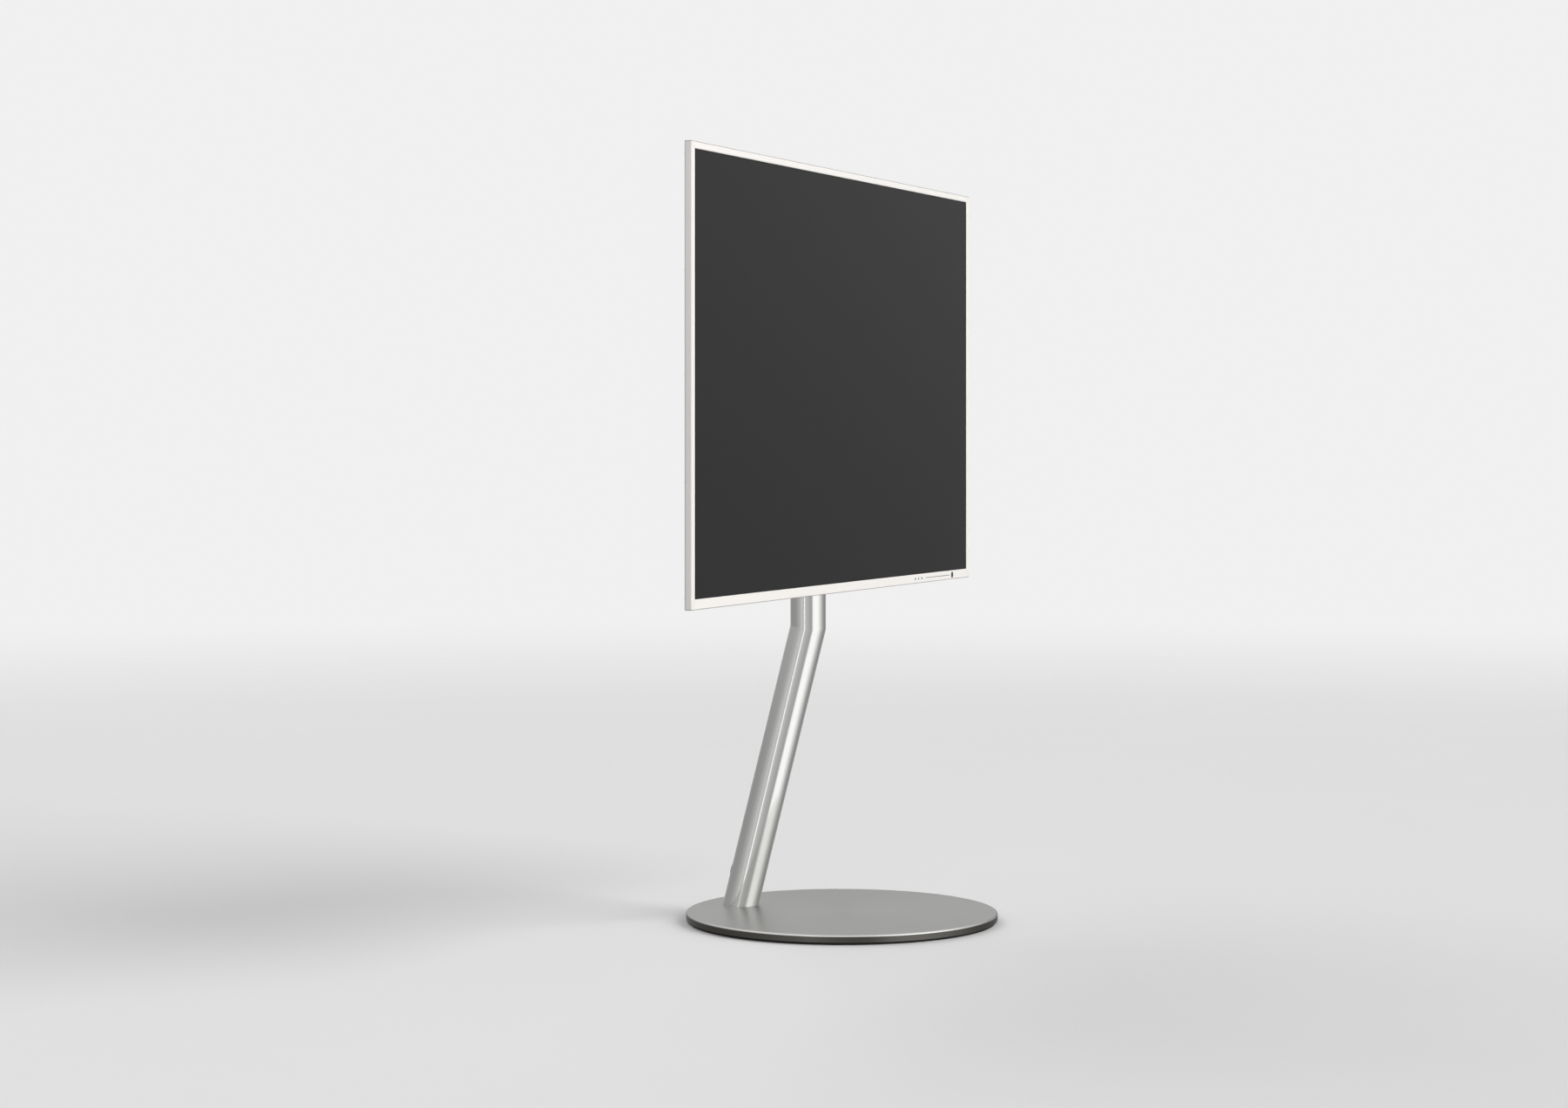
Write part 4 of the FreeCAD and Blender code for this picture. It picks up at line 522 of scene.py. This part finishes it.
class STANDKIT_OT_frame_rails(bpy.types.Operator):
    """Finish the four mitred rails of the display's frame and what joins them"""

    bl_idname = "standkit.frame_rails"
    bl_label = "Frame rails"

    def execute(self, context):
        display = context.scene.display_finish
        pitch = display.die_pitch
        level = anodised_aluminium("anodised_aluminium_level", display, (DIE_LINE * pitch, pitch, pitch))
        upright = anodised_aluminium(
            "anodised_aluminium_upright", display, (pitch, pitch, DIE_LINE * pitch)
        )
        dress(level, "rail_top", "rail_bottom")
        dress(upright, "rail_left", "rail_right")
        return {"FINISHED"}


class STANDKIT_OT_screen(bpy.types.Operator):
    """Finish the cover glass, its gasket and the layers of the screen behind it"""

    bl_idname = "standkit.screen"
    bl_label = "Screen"

    def execute(self, context):
        display = context.scene.display_finish
        dress(etched_screen_glass(display), "touch_glass")
        dress(rubber("gasket_foam", "#0E0E0E", texture=0.5 * MM, low=0.8), "glass_gasket")
        dress(screen_cell_glass(), "lcd_cell")
        dress(optical_film("touch_film_clear", "#DDE1E4", ridge=1.5 * MM, clear=0.85), "touch_film")
        dress(optical_film("prism_film", "#D9DEE2", ridge=0.4 * MM, clear=0.6), "prism_sheet")
        dress(optical_film("diffuser_film", "#F0F0EE", ridge=0.8 * MM, clear=0.2), "diffuser_sheet")
        dress(optical_film("acrylic_light_guide", "#E2E9E8", ridge=3 * MM, clear=0.9), "light_guide")
        return {"FINISHED"}


class STANDKIT_OT_controls(bpy.types.Operator):
    """Finish the four keys and the light bar on the bottom rail"""

    bl_idname = "standkit.controls"
    bl_label = "Keys and light bar"

    def execute(self, context):
        display = context.scene.display_finish
        keys = moulded_plastic(
            "key_plastic", display.keys, texture=0.3 * MM, low=0.26, high=0.4, depth=0.01 * MM
        )
        dress(keys, "small_key_1", "small_key_2", "small_key_3", "power_key")
        lens = moulded_plastic(
            "smoked_acrylic", linear("#8E8D8B"), texture=0.5 * MM, low=0.16, high=0.26, depth=0.004 * MM
        )
        dress(lens, "light_bar")
        return {"FINISHED"}


class STANDKIT_OT_swivel(bpy.types.Operator):
    """Finish the swivel sleeve, its bushes, the mounting plate and the collar that carries them"""

    bl_idname = "standkit.swivel"
    bl_label = "Swivel"

    def execute(self, context):
        coat = powder_coat("bracket_powder_coat", linear("#2C2D2F"), peel=1.1 * MM)
        dress(coat, "swivel_sleeve", "mount_plate", "support_collar")
        bush = moulded_plastic(
            "acetal_bush", linear("#E6E2D6"), texture=0.5 * MM, low=0.3, high=0.42, depth=0.01 * MM
        )
        dress(bush, "swivel_bushes")
        return {"FINISHED"}


class STANDKIT_OT_back(bpy.types.Operator):
    """Finish the rear cover and the moulded housing on it"""

    bl_idname = "standkit.back"
    bl_label = "Back"

    def execute(self, context):
        display = context.scene.display_finish
        dress(powder_coat("cover_powder_coat", display.cover, peel=1.3 * MM), "rear_cover")
        skin = moulded_plastic(
            "housing_abs", display.housing, texture=1.0 * MM, low=0.5, high=0.68, depth=0.06 * MM
        )
        dress(skin, "rear_housing")
        return {"FINISHED"}


class STANDKIT_OT_sockets(bpy.types.Operator):
    """Finish the mains inlet, the rocker switch and the socket panel"""

    bl_idname = "standkit.sockets"
    bl_label = "Sockets"

    def execute(self, context):
        body = moulded_plastic(
            "socket_nylon", linear("#1D1D1E"), texture=0.7 * MM, low=0.4, high=0.55, depth=0.03 * MM
        )
        dress(body, "mains_inlet", "switch_body")
        rocker = moulded_plastic(
            "rocker_plastic", linear("#161617"), texture=0.4 * MM, low=0.2, high=0.32, depth=0.008 * MM
        )
        dress(rocker, "rocker")
        dress(plain_steel_plate(), "port_panel")
        return {"FINISHED"}


class STANDKIT_OT_structure(bpy.types.Operator):
    """Finish the sheet steel tray, the blocks and keys in the frame, the bosses and standoffs"""

    bl_idname = "standkit.structure"
    bl_label = "Inner structure"

    def execute(self, context):
        dress(galvanised_sheet(), "backlight_tray", "corner_keys", "frame_blocks")
        dress(bpy.data.materials["turned_steel"], "mounting_bosses", "stop_pin")
        dress(turned_brass(), "board_standoffs")
        return {"FINISHED"}


class STANDKIT_OT_electronics(bpy.types.Operator):
    """Finish the circuit boards, the row of lamps and the speakers"""

    bl_idname = "standkit.electronics"
    bl_label = "Electronics"

    def execute(self, context):
        for node in ("power_board", "main_board", "touch_board", "timing_board", "key_board"):
            dress(circuit_board(f"{node}_laminate", node), node)
        dress(led_strip_board(), "led_bar")
        box = moulded_plastic(
            "speaker_box_abs", linear("#262627"), texture=0.8 * MM, low=0.5, high=0.66, depth=0.03 * MM
        )
        dress(box, "speakers")
        return {"FINISHED"}


class STANDKIT_OT_wiring(bpy.types.Operator):
    """Finish the leads and ribbons inside the display"""

    bl_idname = "standkit.wiring"
    bl_label = "Wiring"

    def execute(self, context):
        sheath = rubber("cable_sheath", "#181818", texture=0.6 * MM, low=0.5)
        dress(sheath, "mains_harness", "dc_harness", "signal_cable")
        dress(ribbon_sheath(), "panel_ribbons", "key_ribbon", "touch_ribbon")
        return {"FINISHED"}


class STANDKIT_OT_screws(bpy.types.Operator):
    """Finish every screw of the stand and the display"""

    bl_idname = "standkit.screws"
    bl_label = "Screws"

    def execute(self, context):
        names = [n for n in frame["nodes"] if n.endswith("_screws")]
        dress(zinc_plated_steel(), *names)
        return {"FINISHED"}


# ---------------------------------------------------------------- operators for the studio

TENT_RADIUS = 4.5
TENT_LOW, TENT_HIGH = -5.0, 3.4
# Brightness of the light tent, by degrees to the left of the camera's own bearing.
TENT_PANELS = (
    (0, 0.47), (20, 0.47), (44, 0.42), (60, 0.40), (92, 0.44), (104, 0.49), (124, 0.64), (138, 0.82),
    (150, 0.70), (153, 0.72), (154, 1.85), (158, 1.85), (159, 0.78), (180, 0.63), (195, 0.55), (205, 0.54),
    (210, 1.28), (216, 1.50), (246, 1.46), (258, 1.22), (268, 0.98), (282, 0.66), (300, 0.42), (316, 0.34),
    (330, 0.42), (344, 0.47), (360, 0.47),
)
TENT_BRIGHTEST = 3.2
TENT_ROOF = 0.68
ROOF_EDGE, ROOF_BLEND = 0.06, 0.05
# The tent grows brighter by this factor between these two heights.
TENT_LIFT, TENT_LIFT_LOW, TENT_LIFT_HIGH = 1.8, 0.45, 1.9
FLOOR_RADIUS, FLOOR_FADE = 9.0, 2.2
FLOOR_MOTTLE = 0.5
SOFT_ANGLE = math.radians(50)
FRONT_LIGHT_WAY = (-0.22, 0.86, -0.46)
BACK_LIGHT_WAY = (-0.50, -0.70, -0.50)
SENSOR_WIDTH = 36.0
CLIP_NEAR, CLIP_FAR = 0.05, 100.0
RING_STEPS = 96


def only_reflected(thing):
    """Shows a thing in reflections alone."""
    thing.visible_camera = False
    thing.visible_diffuse = False
    thing.visible_shadow = False
    thing.visible_transmission = False
    thing.visible_volume_scatter = False


def mesh_object(name, made):
    """Turns a bmesh into an object in the scene."""
    data = bpy.data.meshes.new(name)
    made.to_mesh(data)
    made.free()
    thing = bpy.data.objects.new(name, data)
    bpy.context.scene.collection.objects.link(thing)
    return thing


def floor_paint(studio):
    """Matt floor paint on a smooth screed: pale grey with a faint roller mottle, thinning out far away."""
    made, tree, shader, where = new_finish("floor_paint", IOR=1.45, Specular_IOR_Level=0.2)
    roller = grain(tree, where, (FLOOR_MOTTLE,) * 3, detail=4.0)
    tint(tree, shader, roller, shade(studio.floor, 0.985), shade(studio.floor, 1.015))
    polish(tree, shader, roller, low=0.7, high=0.8)
    away = add(tree, "ShaderNodeVectorMath", links={0: where}, operation="LENGTH")
    fade = add(
        tree, "ShaderNodeMapRange",
        {"From Min": FLOOR_FADE, "From Max": FLOOR_RADIUS, "To Min": 1.0, "To Max": 0.0},
        {"Value": away.outputs["Value"]}, interpolation_type="SMOOTHSTEP",
    )
    tree.links.new(fade.outputs[0], shader.inputs["Alpha"])
    return made


def make_floor(studio):
    """A round painted floor that fades into the backdrop far away."""
    made = bmesh.new()
    bmesh.ops.create_circle(made, cap_ends=True, segments=RING_STEPS, radius=FLOOR_RADIUS)
    floor = mesh_object("studio_floor", made)
    floor.data.materials.append(floor_paint(studio))
    floor.visible_glossy = False


def tent_cloth():
    """Lit white cloth of a light tent, with brighter panels round it and a roof."""
    made = bpy.data.materials.new("tent_cloth")
    made.use_nodes = True
    tree = made.node_tree
    tree.nodes.clear()
    where = add(tree, "ShaderNodeTexCoord").outputs["Object"]
    bearing = add(tree, "ShaderNodeTexGradient", links={0: where}, gradient_type="RADIAL")
    panels = add(tree, "ShaderNodeValToRGB", links={0: bearing.outputs["Fac"]})
    stops = panels.color_ramp.elements
    while len(stops) < len(TENT_PANELS):
        stops.new(0.5)
    for stop, (angle, level) in zip(stops, TENT_PANELS):
        stop.position = angle / 360
        stop.color = (level / TENT_BRIGHTEST,) * 3 + (1.0,)
    roof = mask_above(tree, where, "Z", TENT_HIGH - ROOF_BLEND, TENT_HIGH)
    cloth = between(tree, roof, panels.outputs[0], (TENT_ROOF / TENT_BRIGHTEST,) * 3 + (1.0,))
    height = add(tree, "ShaderNodeSeparateXYZ", links={0: where}).outputs["Z"]
    lift = add(
        tree, "ShaderNodeMapRange",
        {"From Min": TENT_LIFT_LOW, "From Max": TENT_LIFT_HIGH, "To Min": 1.0, "To Max": TENT_LIFT},
        {"Value": height},
    )
    lifted = add(
        tree, "ShaderNodeVectorMath", links={0: cloth, 1: lift.outputs[0]}, operation="MULTIPLY"
    )
    glow = add(tree, "ShaderNodeEmission", {"Strength": TENT_BRIGHTEST}, {"Color": lifted.outputs[0]})
    add(tree, "ShaderNodeOutputMaterial", links={"Surface": glow.outputs[0]})
    return made


def make_tent(studio):
    """A round light tent, seen only in reflections, with its seam along the camera's bearing."""
    made = bmesh.new()
    rings = []
    turns = [2 * math.pi * i / RING_STEPS for i in range(RING_STEPS)]
    for height in (TENT_LOW, TENT_HIGH - ROOF_EDGE, TENT_HIGH):
        rings.append(
            [
                made.verts.new((TENT_RADIUS * math.cos(turn), TENT_RADIUS * math.sin(turn), height))
                for turn in turns
            ]
        )
    for lower, upper in zip(rings, rings[1:]):
        for i in range(RING_STEPS):
            j = (i + 1) % RING_STEPS
            made.faces.new((lower[i], lower[j], upper[j], upper[i]))
    made.faces.new(rings[-1])
    tent = mesh_object("light_tent", made)
    tent.rotation_euler = (0.0, 0.0, math.pi / 2 - studio.heading + math.pi)
    tent.data.materials.append(tent_cloth())
    only_reflected(tent)


def make_soft_light(name, towards, strength):
    """A very broad soft light that falls evenly over the whole studio, along a direction."""
    data = bpy.data.lights.new(name, "SUN")
    data.energy = strength
    data.angle = SOFT_ANGLE
    made = bpy.data.objects.new(name, data)
    bpy.context.scene.collection.objects.link(made)
    made.rotation_euler = Vector(towards).to_track_quat("-Z", "Y").to_euler()
    made.visible_camera = False
    made.visible_glossy = False


def make_ambient(studio):
    """Even light from all round, and the pale tone that is seen behind the object."""
    world = bpy.data.worlds.new("studio_air")
    bpy.context.scene.world = world
    world.use_nodes = True
    tree = world.node_tree
    tree.nodes.clear()
    light = add(tree, "ShaderNodeBackground", {"Color": linear("#FFFFFF"), "Strength": studio.ambient})
    seen = add(tree, "ShaderNodeBackground", {"Color": studio.backdrop, "Strength": 1.0})
    ray = add(tree, "ShaderNodeLightPath")
    both = add(
        tree, "ShaderNodeMixShader",
        links={0: ray.outputs["Is Camera Ray"], 1: light.outputs[0], 2: seen.outputs[0]},
    )
    add(tree, "ShaderNodeOutputWorld", links={"Surface": both.outputs[0]})


def make_camera(studio):
    """One level camera, with its lens shifted to frame the whole object."""
    data = bpy.data.cameras.new("studio_camera")
    data.sensor_width = SENSOR_WIDTH
    data.lens = studio.lens
    data.shift_y = studio.fall
    data.clip_start, data.clip_end = CLIP_NEAR, CLIP_FAR
    made = bpy.data.objects.new("studio_camera", data)
    bpy.context.scene.collection.objects.link(made)
    made.location = studio.camera_place
    made.rotation_euler = (math.pi / 2, 0.0, -studio.heading)
    bpy.context.scene.camera = made


class STANDKIT_OT_studio(bpy.types.Operator):
    """Set up the floor, the soft light and the camera"""

    bl_idname = "standkit.studio"
    bl_label = "Studio"

    def execute(self, context):
        studio = context.scene.studio_settings
        context.scene.view_settings.view_transform = "Standard"
        make_floor(studio)
        make_tent(studio)
        make_ambient(studio)
        make_soft_light("front_light", FRONT_LIGHT_WAY, studio.front_strength)
        make_soft_light("back_light", BACK_LIGHT_WAY, studio.back_strength)
        make_camera(studio)
        return {"FINISHED"}


# ---------------------------------------------------------------- panel and registration

OPERATORS = (
    STANDKIT_OT_base,
    STANDKIT_OT_column,
    STANDKIT_OT_frame_rails,
    STANDKIT_OT_screen,
    STANDKIT_OT_controls,
    STANDKIT_OT_swivel,
    STANDKIT_OT_back,
    STANDKIT_OT_sockets,
    STANDKIT_OT_structure,
    STANDKIT_OT_electronics,
    STANDKIT_OT_wiring,
    STANDKIT_OT_screws,
    STANDKIT_OT_studio,
)
SETTINGS = {
    "stand_finish": StandFinish,
    "display_finish": DisplayFinish,
    "studio_settings": StudioSettings,
}


class STANDKIT_PT_panel(bpy.types.Panel):
    """Lists the steps and the settings of the display stand"""

    bl_idname = "STANDKIT_PT_panel"
    bl_label = "Display Stand"
    bl_space_type = "VIEW_3D"
    bl_region_type = "UI"
    bl_category = "Display Stand"

    def draw(self, context):
        for step in OPERATORS:
            self.layout.operator(step.bl_idname)
        for name, kind in SETTINGS.items():
            box = self.layout.box()
            for setting in kind.__annotations__:
                box.prop(getattr(context.scene, name), setting)


def register():
    for kind in (*SETTINGS.values(), *OPERATORS, STANDKIT_PT_panel):
        bpy.utils.register_class(kind)
    for name, kind in SETTINGS.items():
        setattr(bpy.types.Scene, name, bpy.props.PointerProperty(type=kind))


def unregister():
    for name in SETTINGS:
        delattr(bpy.types.Scene, name)
    for kind in (STANDKIT_PT_panel, *reversed(OPERATORS), *reversed(SETTINGS.values())):
        bpy.utils.unregister_class(kind)


def main():
    """Runs every step in order."""
    register()
    for step in OPERATORS:
        group, action = step.bl_idname.split(".")
        getattr(getattr(bpy.ops, group), action)()
    plain = [n for n, thing in frame["nodes"].items() if "dressed" not in thing]
    if plain:
        raise RuntimeError(f"these parts have no finish: {plain}")


if __name__ == "__main__":
    main()
